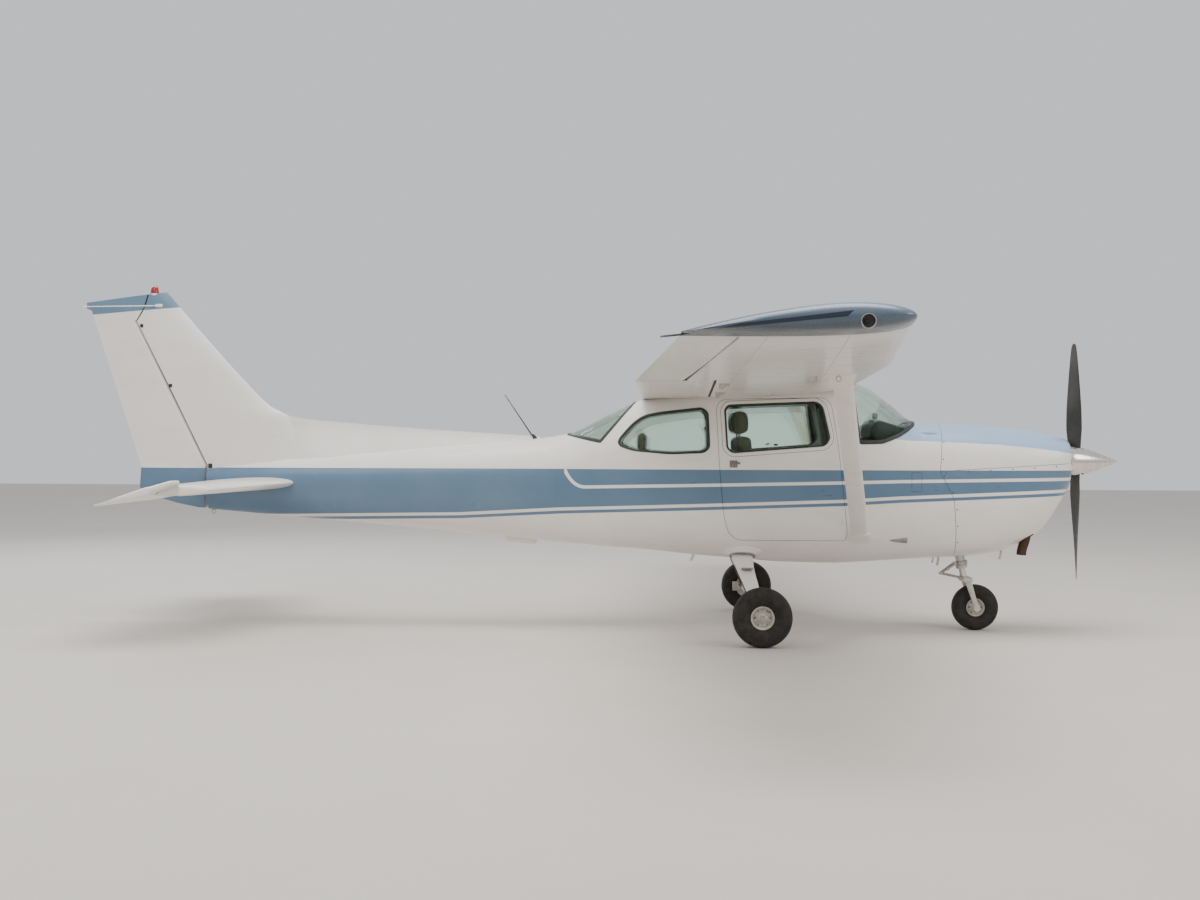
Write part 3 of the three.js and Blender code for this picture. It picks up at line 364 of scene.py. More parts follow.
def paintMaterial(name, bands="none"):
    material, tree, shader = nodeTree(name)
    place = tree.nodes.new("ShaderNodeTexCoord")
    split = tree.nodes.new("ShaderNodeSeparateXYZ")
    tree.links.new(place.outputs["Object"], split.inputs[0])
    x, z = split.outputs["X"], split.outputs["Z"]
    cloud = noise(tree, 1.3, 6, 0.6)
    dust = noise(tree, 9, 6, 0.65, (0.4, 1, 1))
    fine = noise(tree, 260, 3, 0.5)
    ripple = noise(tree, 3.2, 2, 0.5, (1.5, 1, 1))
    s = stripes
    white = blendColours(tree, rangeOf(tree, cloud, 0.38, 0.68, 0, 1), s["white"], s["whiteShade"])
    white = blendColours(tree, rangeOf(tree, dust, 0.52, 0.8, 0, 0.35), white, (0.62, 0.575, 0.51))
    blue = blendColours(tree, rangeOf(tree, cloud, 0.35, 0.7, 0, 1), s["blue"], s["blueShade"])
    colour = white
    if bands == "body":
        top = heightLine(tree, x, s["top"])
        upper, lower = heightLine(tree, x, s["upperLine"]), heightLine(tree, x, s["lowerLine"])
        thin = math1(tree, "SUBTRACT", lower, s["lineWidth"] / 2 + s["thinWidth"])
        band = between(tree, z, thin, top)
        # the branch line sweeps down from the top edge and levels out into the upper line
        bx, bz = s["branch"][0] + axleX, s["branch"][1]
        run = s["branchEnd"] - s["branch"][0]
        share = math1(tree, "DIVIDE", math1(tree, "SUBTRACT", x, bx), run, clamp=True)
        fall = math1(tree, "POWER", math1(tree, "SUBTRACT", 1, share), 2.6)
        sweep = math1(tree, "ADD", upper, math1(tree, "MULTIPLY", fall, bz - 1.100))
        slant = math1(tree, "ADD", s["lineWidth"], math1(tree, "MULTIPLY", fall, 0.038))
        away = math1(tree, "ABSOLUTE", math1(tree, "SUBTRACT", z, sweep))
        lineMask = math1(tree, "MULTIPLY", math1(tree, "SUBTRACT", math1(tree, "MULTIPLY", slant, 0.5), away),
                         900,
                         clamp=True)
        lineMask = math1(tree, "MULTIPLY", lineMask, math1(tree, "GREATER_THAN", x, bx))
        lines = math1(tree, "MAXIMUM", lineMask, near(tree, z, lower, s["lineWidth"]))
        band = math1(tree, "MULTIPLY", band, math1(tree, "SUBTRACT", 1, lines))
        colour = blendColours(tree, band, colour, blue)
        cowl = math1(tree, "MULTIPLY", above(tree, z, heightLine(tree, x, s["cowlTop"])),
                     math1(tree, "GREATER_THAN", x, 0.85 + axleX))
        pale = blendColours(tree, rangeOf(tree, cloud, 0.35, 0.7, 0, 1), s["paleBlue"],
                            tuple(1.12 * c for c in s["paleBlue"]))
        colour = blendColours(tree, cowl, colour, pale)
    if bands == "rudder":
        low = math1(tree, "SUBTRACT", 1, above(tree, z, s["top"][0][1]))
        colour = blendColours(tree, low, colour, blue)
    if bands in ("fin", "rudder"):
        # the cap's lower edge climbs forwards
        edge = math1(tree, "ADD", math1(tree, "MULTIPLY", math1(tree, "SUBTRACT", x, axleX - 5.30), 0.078),
                     2.450)
        capBlue = blendColours(tree, rangeOf(tree, cloud, 0.35, 0.7, 0, 1), (0.115, 0.205, 0.30),
                               (0.15, 0.25, 0.35))
        colour = blendColours(tree, above(tree, z, edge), colour, capBlue)
    tree.links.new(colour, shader.inputs["Base Color"])
    tree.links.new(rangeOf(tree, dust, 0.3, 0.8, 0.26, 0.46), shader.inputs["Roughness"])
    shader.inputs["Coat Weight"].default_value = 0.35
    shader.inputs["Coat Roughness"].default_value = 0.1
    shader.inputs["Specular IOR Level"].default_value = 0.5
    height = math1(tree, "ADD", math1(tree, "MULTIPLY", ripple, 0.8), math1(tree, "MULTIPLY", fine, 0.02))
    bump(tree, shader, height, 0.35, 0.006)
    return material


def glassMaterial(name):
    material, tree, shader = nodeTree(name)
    smear = noise(tree, 14, 5, 0.6)
    tree.links.new(blendColours(tree, smear, (0.66, 0.90, 0.74), (0.71, 0.93, 0.79)),
                   shader.inputs["Base Color"])
    tree.links.new(rangeOf(tree, smear, 0.3, 0.8, 0.0, 0.02), shader.inputs["Roughness"])
    shader.inputs["Transmission Weight"].default_value = 1
    shader.inputs["IOR"].default_value = 1.18
    shader.inputs["Alpha"].default_value = 0.52
    return material


def tipMaterial(name):
    # metallic blue fairing with a long dark navy flash along it; painted shade and highlight make it dark at the bottom
    # and lighter towards the top
    material, tree, shader = nodeTree(name)
    place = tree.nodes.new("ShaderNodeTexCoord")
    split = tree.nodes.new("ShaderNodeSeparateXYZ")
    tree.links.new(place.outputs["Object"], split.inputs[0])
    x, z = split.outputs["X"], split.outputs["Z"]
    cloud = noise(tree, 5, 5, 0.6)
    fine = noise(tree, 320, 3, 0.5)
    # painted shade and highlight: the colour runs from dark at the bottom of the fairing to light at its top
    base = blendColours(tree, rangeOf(tree, z, 1.955, 2.045, 0, 1), (0.022, 0.033, 0.044),
                        (0.075, 0.112, 0.155))
    base = blendColours(tree, rangeOf(tree, z, 2.045, 2.105, 0, 1), base, (0.17, 0.23, 0.30))
    base = blendColours(tree, rangeOf(tree, cloud, 0.35, 0.7, 0, 0.25), base, (0.12, 0.17, 0.22))
    # the flash widens forwards between two straight edges and ends on a slant
    along = math1(tree, "SUBTRACT", x, axleX - 0.461)
    low = math1(tree, "ADD", 1.978, math1(tree, "MULTIPLY", along, 0.0967))
    steep = math1(tree, "ADD", 1.978, math1(tree, "MULTIPLY", along, 0.224))
    high = math1(tree, "MINIMUM", steep, math1(tree, "ADD", 1.9916, math1(tree, "MULTIPLY", along, 0.115)))
    end = math1(tree, "LESS_THAN", math1(tree, "SUBTRACT", x, z), axleX + 0.149 - 2.037)
    flash = math1(tree, "MULTIPLY", between(tree, z, low, high), end)
    tree.links.new(blendColours(tree, flash, base, (0.008, 0.014, 0.03)), shader.inputs["Base Color"])
    tree.links.new(rangeOf(tree, fine, 0.3, 0.7, 0.2, 0.34), shader.inputs["Roughness"])
    shader.inputs["Metallic"].default_value = 0.1
    shader.inputs["Coat Weight"].default_value = 0.25
    shader.inputs["Coat Roughness"].default_value = 0.08
    bump(tree, shader, cloud, 0.2, 0.002)
    return material


paint = paintMaterial("white_paint")
bodyPaint = paintMaterial("banded_paint", "body")
finPaint = paintMaterial("fin_paint", "fin")
rudderPaint = paintMaterial("rudder_paint", "rudder")
tipPaint = tipMaterial("tip_paint")
glass = glassMaterial("tinted_glass")
gasket = plainMaterial("gasket_rubber", (0.018, 0.026, 0.02), (0.03, 0.042, 0.034), (0.45, 0.7), grain=30)
rubber = plainMaterial("tyre_rubber", (0.010, 0.009, 0.007), (0.024, 0.020, 0.016), (0.62, 0.9), grain=22,
                       bumpDepth=0.0006)
rimPaint = plainMaterial("wheel_paint", (0.66, 0.63, 0.57), (0.42, 0.38, 0.32), (0.35, 0.6), grain=40,
                         patches=1.5)
blackPlastic = plainMaterial("black_plastic", (0.012, 0.013, 0.013), (0.025, 0.026, 0.026), (0.4, 0.65),
                             grain=90)
seamDark = plainMaterial("seam_shadow", (0.05, 0.047, 0.044), (0.10, 0.094, 0.088), (0.7, 0.9), grain=80)
steel = plainMaterial("gear_steel", (0.52, 0.50, 0.47), (0.33, 0.30, 0.27), (0.25, 0.5), 0.9, grain=45,
                      patches=1.2)
screwSteel = plainMaterial("screw_steel", (0.30, 0.28, 0.25), (0.16, 0.14, 0.12), (0.3, 0.55), 0.8, grain=120)
aluminium = plainMaterial("sheet_aluminium", (0.62, 0.62, 0.61), (0.50, 0.50, 0.49), (0.3, 0.5), 0.9,
                          grain=20,
                          stretch=(1, 1, 6))
spinnerMetal = plainMaterial("spinner_metal", (0.78, 0.725, 0.665), (0.68, 0.63, 0.575), (0.13, 0.24), 1.0,
                             grain=9,
                             fine=420, bumpDepth=0.00015, stretch=(6, 1, 1))
bladePaint = plainMaterial("blade_paint", (0.016, 0.015, 0.012), (0.034, 0.030, 0.023), (0.32, 0.55), 0.1,
                           grain=7)
castIron = plainMaterial("engine_casting", (0.20, 0.20, 0.20), (0.12, 0.12, 0.12), (0.6, 0.85), 0.6, grain=50)
rust = plainMaterial("exhaust_steel", (0.115, 0.055, 0.03), (0.05, 0.032, 0.024), (0.6, 0.9), 0.55, grain=28,
                     bumpDepth=0.0012, patches=1.3)
beaconRed = plainMaterial("beacon_lens", (0.30, 0.003, 0.006), (0.36, 0.006, 0.009), (0.12, 0.2), grain=60,
                          coat=0.3)
seatVinyl = plainMaterial("seat_vinyl", (0.105, 0.095, 0.062), (0.15, 0.135, 0.09), (0.45, 0.62), grain=240,
                          fine=900, bumpDepth=0.0005, sheen=0.25)
seatCloth = plainMaterial("seat_cloth", (0.17, 0.155, 0.11), (0.11, 0.10, 0.07), (0.8, 0.95), grain=520,
                          fine=1500,
                          bumpDepth=0.0008, sheen=0.4)
carpet = plainMaterial("cabin_carpet", (0.16, 0.15, 0.13), (0.10, 0.095, 0.085), (0.85, 1.0), grain=300,
                       fine=1200,
                       bumpDepth=0.002, sheen=0.3)
lining = plainMaterial("cabin_lining", (0.50, 0.49, 0.45), (0.42, 0.41, 0.37), (0.7, 0.9), grain=160,
                       fine=700)
ventGrey = plainMaterial("vent_grey", (0.30, 0.29, 0.27), (0.22, 0.21, 0.20), (0.4, 0.6), grain=60)
print("materials made")


# ---- fuselage lines: station, top, bottom, half width, widest height, squareness above and below

body = {
    "stations": [
        (2.388, 1.450, 1.165, 0.143, 1.307, 2, 2), (2.376, 1.471, 1.115, 0.262, 1.303, 2.3, 2.1),
        (2.352, 1.484, 1.062, 0.345, 1.298, 2.6, 2.2), (2.321, 1.495, 1.010, 0.388, 1.290, 2.8, 2.2),
        (2.231, 1.518, 0.855, 0.428, 1.270, 2.9, 2.3), (2.133, 1.538, 0.746, 0.448, 1.240, 3, 2.4),
        (2.027, 1.553, 0.686, 0.465, 1.210, 3, 2.6), (1.852, 1.576, 0.611, 0.486, 1.180, 3, 2.8),
        (1.628, 1.592, 0.578, 0.505, 1.160, 3, 3), (1.400, 1.600, 0.566, 0.520, 1.150, 3, 3.2),
        (1.223, 1.606, 0.556, 0.530, 1.150, 3.1, 3.3), (1.008, 1.763, 0.542, 0.537, 1.150, 3.1, 3.4),
        (0.800, 1.899, 0.528, 0.541, 1.150, 3.3, 3.4), (0.600, 1.925, 0.517, 0.543, 1.150, 4, 3.4),
        (0.200, 1.930, 0.523, 0.543, 1.150, 4, 3.4), (-0.115, 1.915, 0.547, 0.540, 1.150, 4, 3.4),
        (-0.422, 1.872, 0.567, 0.523, 1.150, 3.8, 3.2), (-0.893, 1.768, 0.610, 0.470, 1.140, 3.2, 3),
        (-1.200, 1.630, 0.628, 0.425, 1.120, 2.9, 2.8), (-1.435, 1.514, 0.647, 0.385, 1.110, 2.7, 2.6),
        (-1.680, 1.470, 0.665, 0.355, 1.100, 2.6, 2.5), (-2.556, 1.395, 0.754, 0.262, 1.090, 2.4, 2.3),
        (-3.756, 1.295, 0.846, 0.158, 1.078, 2.3, 2.2), (-4.334, 1.232, 0.894, 0.092, 1.066, 2.3, 2.2)],
    "around": 112, "spacing": 0.055, "cabinWall": 0.036, "coneWall": 0.010, "cowlWall": 0.012,
    "cabinEnd": -1.500, "seamGap": 0.003,
    "cowlEdge": [(1.382, 1.75), (1.382, 1.584), (1.352, 1.232), (1.456, 1.024), (1.491, 0.600),
                 (1.491, 0.40)],
    "cowlSeam": [(1.300, 1.232), (2.500, 1.306)],
}
outline = {
    "door": [(-0.310, 1.700), (-0.288, 1.755), (-0.240, 1.772), (0.500, 1.784), (0.550, 1.740),
             (0.603, 1.405),
             (0.672, 0.760), (0.655, 0.708), (-0.150, 0.706), (-0.215, 0.760), (-0.250, 0.880),
             (-0.283, 1.238)],
    "doorGlass": [(-0.243, 1.690), (-0.219, 1.722), (0.440, 1.748), (0.482, 1.715), (0.535, 1.475),
                  (0.500, 1.424), (-0.185, 1.369), (-0.226, 1.401)],
    "rearGlass": [(-1.048, 1.440), (-1.034, 1.475), (-0.936, 1.587), (-0.854, 1.644), (-0.724, 1.669),
                  (-0.414, 1.703), (-0.372, 1.668), (-0.360, 1.404), (-0.400, 1.369), (-0.657, 1.358),
                  (-0.935, 1.382), (-1.030, 1.414)],
    "windshield": [(0.705, 1.830), (0.752, 1.447), (0.925, 1.452), (1.054, 1.504), (1.165, 1.575),
                   (1.236, 1.640), (1.100, 1.760), (0.790, 1.960), (0.706, 1.960)],
    "rearWindow": [(-0.925, 1.740), (-1.188, 1.446), (-1.440, 1.497), (-1.480, 1.560), (-0.930, 1.850)],
    "baggage": [(-0.640, 1.270), (-0.640, 0.860), (-0.680, 0.820), (-1.010, 0.820), (-1.050, 0.860),
                (-1.050, 1.270), (-1.010, 1.310), (-0.680, 1.310)],
}


def smoothTable(rows):
    # every column as a curve through its values that never overshoots them
    rows = sorted(rows)
    keys = [r[0] for r in rows]
    slopes = []
    for column in range(1, len(rows[0])):
        v = [r[column] for r in rows]
        secant = [(v[i + 1] - v[i]) / (keys[i + 1] - keys[i]) for i in range(len(v) - 1)]
        slope = [secant[0]]
        for a, b in zip(secant, secant[1:]):
            slope.append(0 if a * b <= 0 else 2 * a * b / (a + b))
        slopes.append(slope + [secant[-1]])
    remembered = {}

    def value(key):
        key = round(min(max(key, keys[0]), keys[-1]), 5)
        if key in remembered:
            return remembered[key]
        i = max(j for j in range(len(keys) - 1) if keys[j] <= key)
        step = keys[i + 1] - keys[i]
        t = (key - keys[i]) / step
        result = []
        for column, slope in enumerate(slopes):
            a, b = rows[i][column + 1], rows[i + 1][column + 1]
            result.append(a * (1 + 2 * t) * (1 - t) ** 2 + b * t * t * (3 - 2 * t)
                          + step * (slope[i] * t * (1 - t) ** 2 - slope[i + 1] * t * t * (1 - t)))
        remembered[key] = result
        return result
    return value


bodyLines = smoothTable(body["stations"])


def signedPower(v, p):
    return math.copysign(abs(v) ** p, v)


def bodyRing(x, inset=0.0):
    top, bottom, half, middle, upper, lower = bodyLines(x)
    ring = []
    for k in range(body["around"]):
        a = 2 * math.pi * k / body["around"]
        c, s = math.cos(a), math.sin(a)
        power = 2 / (upper if s >= 0 else lower)
        height = top - middle if s >= 0 else middle - bottom
        ring.append((x, (half - inset) * signedPower(c, power),
                     middle + (height - inset) * signedPower(s, power)))
    return ring


def skinLevel(x, y, z):
    # under 1 inside the fuselage, over 1 outside it
    top, bottom, half, middle, upper, lower = bodyLines(x)
    power = upper if z >= middle else lower
    height = top - middle if z >= middle else middle - bottom
    return (abs(y) / half) ** power + (abs(z - middle) / height) ** power


def skinNormal(p):
    d = 0.002
    x, y, z = p
    low, high = body["stations"][-1][0], body["stations"][0][0]
    xa, xb = max(x - d, low), min(x + d, high)
    slope = Vector(((skinLevel(xb, y, z) - skinLevel(xa, y, z)) / (xb - xa),
                    (skinLevel(x, y + d, z) - skinLevel(x, y - d, z)) / (2 * d),
                    (skinLevel(x, y, z + d) - skinLevel(x, y, z - d)) / (2 * d)))
    return slope.normalized(), (skinLevel(x, y, z) - 1) / max(slope.length, 1e-6)


def skinPoint(x, z, side, lift=0.0):
    # the place on the fuselage at this station and height, on the left (1) or right (-1)
    top, bottom, half, middle, upper, lower = bodyLines(x)
    power = upper if z >= middle else lower
    height = top - middle if z >= middle else middle - bottom
    share = min(abs(z - middle) / height, 1)
    p = Vector((x, side * half * (1 - share ** power) ** (1 / power), z))
    return p + skinNormal(p)[0] * lift if lift else p


def bodySolid(inset, x0, x1):
    steps = max(2, round((x1 - x0) / body["spacing"]))
    xs = {round(mix(x0, x1, i / steps), 5) for i in range(steps + 1)}
    xs |= {s[0] for s in body["stations"] if x0 < s[0] < x1 and s[0] > 2.0}
    return loft([bodyRing(x, inset) for x in sorted(xs)])


def skinShading(obj, shift=0.0):
    # corners on the outer skin take the true normal of its curve, so cuts leave no dents in the gloss
    mesh = obj.data
    normals = [Vector(n.vector) for n in mesh.corner_normals]
    for poly in mesh.polygons:
        for i in poly.loop_indices:
            p = mesh.vertices[mesh.loops[i].vertex_index].co - Vector((shift, 0, 0))
            if not body["stations"][-1][0] + 0.001 < p.x < body["stations"][0][0] - 0.001:
                continue
            n, away = skinNormal(p)
            if abs(away) < 0.002 and n.dot(poly.normal) > 0.75:
                normals[i] = n
    mesh.normals_split_custom_set([tuple(n) for n in normals])


def sideTool(points, side, reach=(0.12, 0.75)):
    return prism(points, *sorted(side * y for y in reach))


def innerFaces(obj, material, depth):
    # faces deeper than this below the outer skin get their own finish
    obj.data.materials.append(material)
    for poly in obj.data.polygons:
        p = poly.center - Vector((axleX, 0, 0))
        if body["stations"][-1][0] < p.x < body["stations"][0][0] and skinNormal(p)[1] < -depth:
            poly.material_index = 1


def skinPiece(obj, name, material, bodyName, nodes, inside=None, depth=0.02):
    finishPiece(obj, name, material, bodyName, nodes, 32)
    skinShading(obj, axleX)
    if inside:
        innerFaces(obj, inside, depth)
    return obj


def ribbonOnSkin(points, side, halfWidth, rise, sink=0.004, closed=True, spacing=0.02):
    # a soft-edged strip of rubber, sealant or shadow that follows a line drawn on the side
    path = []
    count = len(points) if closed else len(points) - 1
    for i in range(count):
        a, b = Vector(points[i]), Vector(points[(i + 1) % len(points)])
        steps = max(1, math.ceil((b - a).length / spacing))
        path += [a.lerp(b, k / steps) for k in range(steps)]
    if not closed:
        path.append(Vector(points[-1]))
    rings = []
    for i, p in enumerate(path):
        if closed:
            along = path[(i + 1) % len(path)] - path[i - 1]
        else:
            along = path[min(i + 1, len(path) - 1)] - path[max(i - 1, 0)]
        n2 = Vector((-along.y, along.x)).normalized()
        ring = []
        for across, up in ((-1, -sink), (-0.92, rise * 0.6), (-0.5, rise), (0.5, rise), (0.92, rise * 0.6),
                           (1, -sink)):
            q = p + n2 * across * halfWidth
            ring.append(skinPoint(q.x, q.y, side, up))
        rings.append(ring)
    if closed:
        rings.append(rings[0])
    obj = loft(rings, closedEnds=not closed)
    if closed:
        bm = bmesh.new()
        bm.from_mesh(obj.data)
        bmesh.ops.remove_doubles(bm, verts=bm.verts, dist=1e-5)
        bmesh.ops.recalc_face_normals(bm, faces=bm.faces)
        bm.to_mesh(obj.data)
        bm.free()
    return obj


def studs(places, radius, height, sides=10):
    # domed screw or rivet heads, each at a point with its own direction
    verts, faces = [], []
    for place, normal in places:
        n = Vector(normal).normalized()
        u = n.orthogonal().normalized()
        w = n.cross(u)
        start = len(verts)
        for r, h in ((1, -0.2), (0.95, 0.5), (0.6, 0.92)):
            verts += [Vector(place) + radius * r * (math.cos(a) * u + math.sin(a) * w) + n * height * h
                      for a in (2 * math.pi * k / sides for k in range(sides))]
        verts.append(Vector(place) + n * height)
        for level in range(2):
            for k in range(sides):
                m = (k + 1) % sides
                a, b = start + level * sides, start + (level + 1) * sides
                faces.append((a + k, a + m, b + m, b + k))
        top = start + 2 * sides
        faces += [(top + k, top + (k + 1) % sides, start + 3 * sides) for k in range(sides)]
        faces.append(tuple(start + k for k in reversed(range(sides))))
    return tempObject(verts, faces)


def mirrorOf(obj):
    copy = obj.copy()
    copy.data = obj.data.copy()
    scene.collection.objects.link(copy)
    copy.data.transform(Matrix.Scale(-1, 4, (0, 1, 0)))
    copy.data.flip_normals()
    return copy


def pair(make):
    # the same piece made for both sides
    left = make()
    return [("left", 1, left), ("right", -1, mirrorOf(left))]


# ---- wing sections

wing = {
    "root": (0.552, 0.735, 1.912, -0.874, 1.778), "kink": (2.560, 0.735, 1.972, -0.878, 1.838),
    "tip": (5.200, 0.488, 2.038, -0.608, 1.967), "thickness": 0.12, "camber": 0.02, "halfSpan": 5.485,
    "gap": 0.008, "points": 26, "grooves": 11,
    "flap": (0.622, 2.548, 0.7, 0.7), "aileron": (2.572, 5.140, 0.818, 0.757),
}


def halfThick(t, x):
    return 5 * t * (0.2969 * math.sqrt(x) - 0.126 * x - 0.3516 * x ** 2 + 0.2843 * x ** 3 - 0.1036 * x ** 4)


def camber(m, x):
    peak = 0.4
    if x < peak:
        return m / peak ** 2 * (2 * peak * x - x * x)
    return m / (1 - peak) ** 2 * (1 - 2 * peak + 2 * peak * x - x * x)


def section(t, m, start=0.0, end=0.999, count=None):
    # a closed aerofoil outline; a part that starts behind the nose gets a round front of its own
    count = count or wing["points"]
    steps = [mix(start, end, 1 - math.cos(math.pi * i / (2 * count))) for i in range(count + 1)]
    upper = [(x, camber(m, x) + halfThick(t, x)) for x in reversed(steps)]
    lower = [(x, camber(m, x) - halfThick(t, x)) for x in steps]
    if start <= 0:
        return upper + lower[1:]
    r = halfThick(t, start)
    arc = [(start - r * math.cos(a), camber(m, start) + r * math.sin(a))
           for a in (math.radians(d) for d in range(75, -90, -15))]
    return upper + arc + lower


def rib(y):
    a, b = (wing["root"], wing["kink"]) if y <= wing["kink"][0] else (wing["kink"], wing["tip"])
    return [mix(p, q, (y - a[0]) / (b[0] - a[0])) for p, q in zip(a, b)]


def onRib(points, ribLine, y=None):
    _, leadX, leadZ, trailX, trailZ = ribLine
    dx, dz = trailX - leadX, trailZ - leadZ
    return [(leadX + dx * u + dz * v, ribLine[0] if y is None else y, leadZ + dz * u - dx * v) for u,
            v in points]


def wingSlice(y, start=0.0, end=0.999):
    return onRib(section(wing["thickness"], wing["camber"], start, end), rib(y))


def spanSteps(y0, y1, spacing=0.22):
    steps = max(1, math.ceil((y1 - y0) / spacing))
    return [mix(y0, y1, k / steps) for k in range(steps + 1)]


def coveTool(surface):
    # what the hinged surface and its gap take out of the wing
    y0, y1, h0, h1 = surface
    rings = []
    for y, hinge in ((y0 - wing["gap"], h0), (y1 + wing["gap"], h1)):
        front = hinge - 0.024
        r = halfThick(wing["thickness"], front) + 0.001
        mid = camber(wing["camber"], front)
        arc = [(front - r * 0.35 * math.cos(a) + r * 0.35, mid + r * 1.4 * math.sin(a))
               for a in (math.radians(d) for d in range(90, -100, -15))]
        rings.append(onRib([(1.08, 0.2), (front + 0.01, 0.2)] + arc + [(front + 0.01, -0.2), (1.08, -0.2)],
                           rib(y)))
    return loft(rings)


def wingLower(u, y, lift=0.0):
    # a point on the wing's lower skin and the way out of it
    x, _, z = onRib([(u, camber(wing["camber"], u) - halfThick(wing["thickness"], u) - lift)], rib(y))[0]
    return Vector((x, y, z))


def wingUpper(u, y, lift=0.0):
    x, _, z = onRib([(u, camber(wing["camber"], u) + halfThick(wing["thickness"], u) + lift)], rib(y))[0]
    return Vector((x, y, z))


def strip(points, width, across, thickness, normal):
    # a thin flat bar along straight stretches, for laps, seams and panel edges
    rings = []
    w, n = Vector(across).normalized() * width / 2, Vector(normal).normalized() * thickness
    for p in points:
        p = Vector(p)
        rings.append([p - w - n * 0.5, p - w * 0.8 + n, p + w * 0.8 + n, p + w - n * 0.5])
    return loft(rings)


def makeWing():
    rings = [wingSlice(y) for y in spanSteps(wing["root"][0], wing["kink"][0])[:-1]
             + spanSteps(wing["kink"][0], wing["tip"][0])]
    whole = loft(rings)
    for surface in (wing["flap"], wing["aileron"]):
        combine(whole, coveTool(surface))
    return whole


for name, side, obj in pair(makeWing):
    finishPiece(obj, name + "WingSkin", paint, "airframe", [name + "_wing"], 30)


def makeSurface(surface):
    # the skins are pressed with shallow grooves that run along the span
    y0, y1, h0, h1 = surface
    rings = []
    for y in spanSteps(y0, y1):
        hinge = mix(h0, h1, (y - y0) / (y1 - y0))
        ring = []
        for u, v in section(wing["thickness"], wing["camber"], hinge, 0.999, 130):
            m = camber(wing["camber"], u)
            share = (u - hinge) / (0.999 - hinge)
            if 0.10 < share < 0.90:
                v -= math.copysign(0.00075 * math.sin(math.pi * wing["grooves"] * (share - 0.10) / 0.8) ** 6,
                                   v - m)
            ring.append((u, v))
        rings.append(onRib(ring, rib(y)))
    return loft(rings)


for kind in ("flap", "aileron"):
    for name, side, obj in pair(lambda: makeSurface(wing[kind])):
        finishPiece(obj, name + kind.capitalize() + "Skin", paint, name + "_" + kind, [name + "_" + kind],
                    35)

tipShape = {"rows": [(5.2004, 0, 0, 1), (5.26, 0.003, 0.001, 1), (5.32, 0.008, 0.004, 0.995),
                     (5.37, 0.012, 0.004, 0.965),
                     (5.42, 0.018, 0.004, 0.93), (5.445, 0.030, 0.008, 0.85), (5.462, 0.050, 0.018, 0.72),
                     (5.476, 0.076, 0.038, 0.55), (5.485, 0.105, 0.060, 0.33)], "rise": 0.03,
            "light": (0.244, 2.017), "lightRadius": 0.036}


def makeTip():
    rings = []
    for y, front, back, depth in tipShape["rows"]:
        up = (y - wing["tip"][0]) * tipShape["rise"]
        line = (y, wing["tip"][1] - front, wing["tip"][2] + up, wing["tip"][3] + back, wing["tip"][4] + up)
        rings.append(onRib(section(wing["thickness"] * 1.04 * depth, wing["camber"]), line))
    x, z = tipShape["light"]
    return combine(loft(rings), rod([(x, 5.455, z), (x, 5.50, z)], tipShape["lightRadius"], 40))


for name, side, obj in pair(makeTip):
    finishPiece(obj, name + "TipFairing", tipPaint, "airframe", [name + "_wing_tip"], 40)
print("wings made")


# ---- cabin, doors, tail cone and cowls

rounded = {key: roundCorners(points, r) for key, points, r in (
    ("door", outline["door"], 0.05), ("doorGlass", outline["doorGlass"], 0.06),
                                                               ("rearGlass", outline["rearGlass"], 0.05),
    ("windshield", outline["windshield"], 0.05), ("rearWindow", outline["rearWindow"], 0.05),
    ("baggage", outline["baggage"], 0.05))}


def hollowBody(thickness, x0, x1):
    return combine(bodySolid(0, x0, x1), bodySolid(thickness, x0 - 0.02, x1 + 0.02))


def makeCabin():
    shell = hollowBody(body["cabinWall"], -1.56, 1.56)
    roofRings = [onRib(section(wing["thickness"], wing["camber"]), rib(wing["root"][0]), y) for y in
                 (-0.550, -0.275, 0, 0.275, 0.550)]
    roof = combine(loft(roofRings), bodySolid(body["cabinWall"], -1.56, 1.56))
    combine(shell, roof, "UNION")
    combine(shell, prism(body["cowlEdge"] + [(2.6, 0.4), (2.6, 1.75)], -1, 1))
    combine(shell, block(-3, body["cabinEnd"], -1, 1, 0, 3))
    for side in (1, -1):
        combine(shell, sideTool(rounded["door"], side))
        combine(shell, sideTool(rounded["rearGlass"], side))
    combine(shell, prism(rounded["windshield"], -1, 1))
    combine(shell, prism(rounded["rearWindow"], -1, 1))
    combine(shell, sideTool(rounded["baggage"], 1))
    return shell


skinPiece(makeCabin(), "cabinShell", bodyPaint, "airframe", ["cabin_shell"], lining, 0.016)
print("cabin cut")


def makePanel(points, side, gapWidth, hole=None):
    # a door as thick as the wall, with its own gap all round
    panel = hollowBody(body["cabinWall"], -1.2, 0.85)
    combine(panel, sideTool(offsetOutline(points, gapWidth), side), "INTERSECT")
    if hole:
        combine(panel, sideTool(hole, side))
    return panel


for name, side, obj in pair(lambda: makePanel(rounded["door"], 1, body["seamGap"], rounded["doorGlass"])):
    skinPiece(obj, name + "Door", bodyPaint, name + "_door", [name + "_door"], lining, 0.02)
skinPiece(makePanel(rounded["baggage"], 1, body["seamGap"]), "baggageDoor", bodyPaint, "baggage_door",
          ["baggage_door"], lining, 0.02)


def makeCone():
    cone = combine(bodySolid(0, -4.334, -1.46), bodySolid(body["coneWall"], -4.32, -1.40))
    combine(cone, block(body["cabinEnd"] - 0.0004, 3, -1, 1, 0, 3))
    combine(cone, rod([(-4.306, -0.3, 1.088), (-4.306, 0.3, 1.088)], 0.02, 32))
    return cone


skinPiece(makeCone(), "tailCone", bodyPaint, "airframe", ["tailcone"])
print("tail cone and doors made")

cowling = {"inletY": 0.262, "inletZ": 1.306, "inletWide": 0.092, "inletHigh": 0.062, "shaftHole": 0.07}


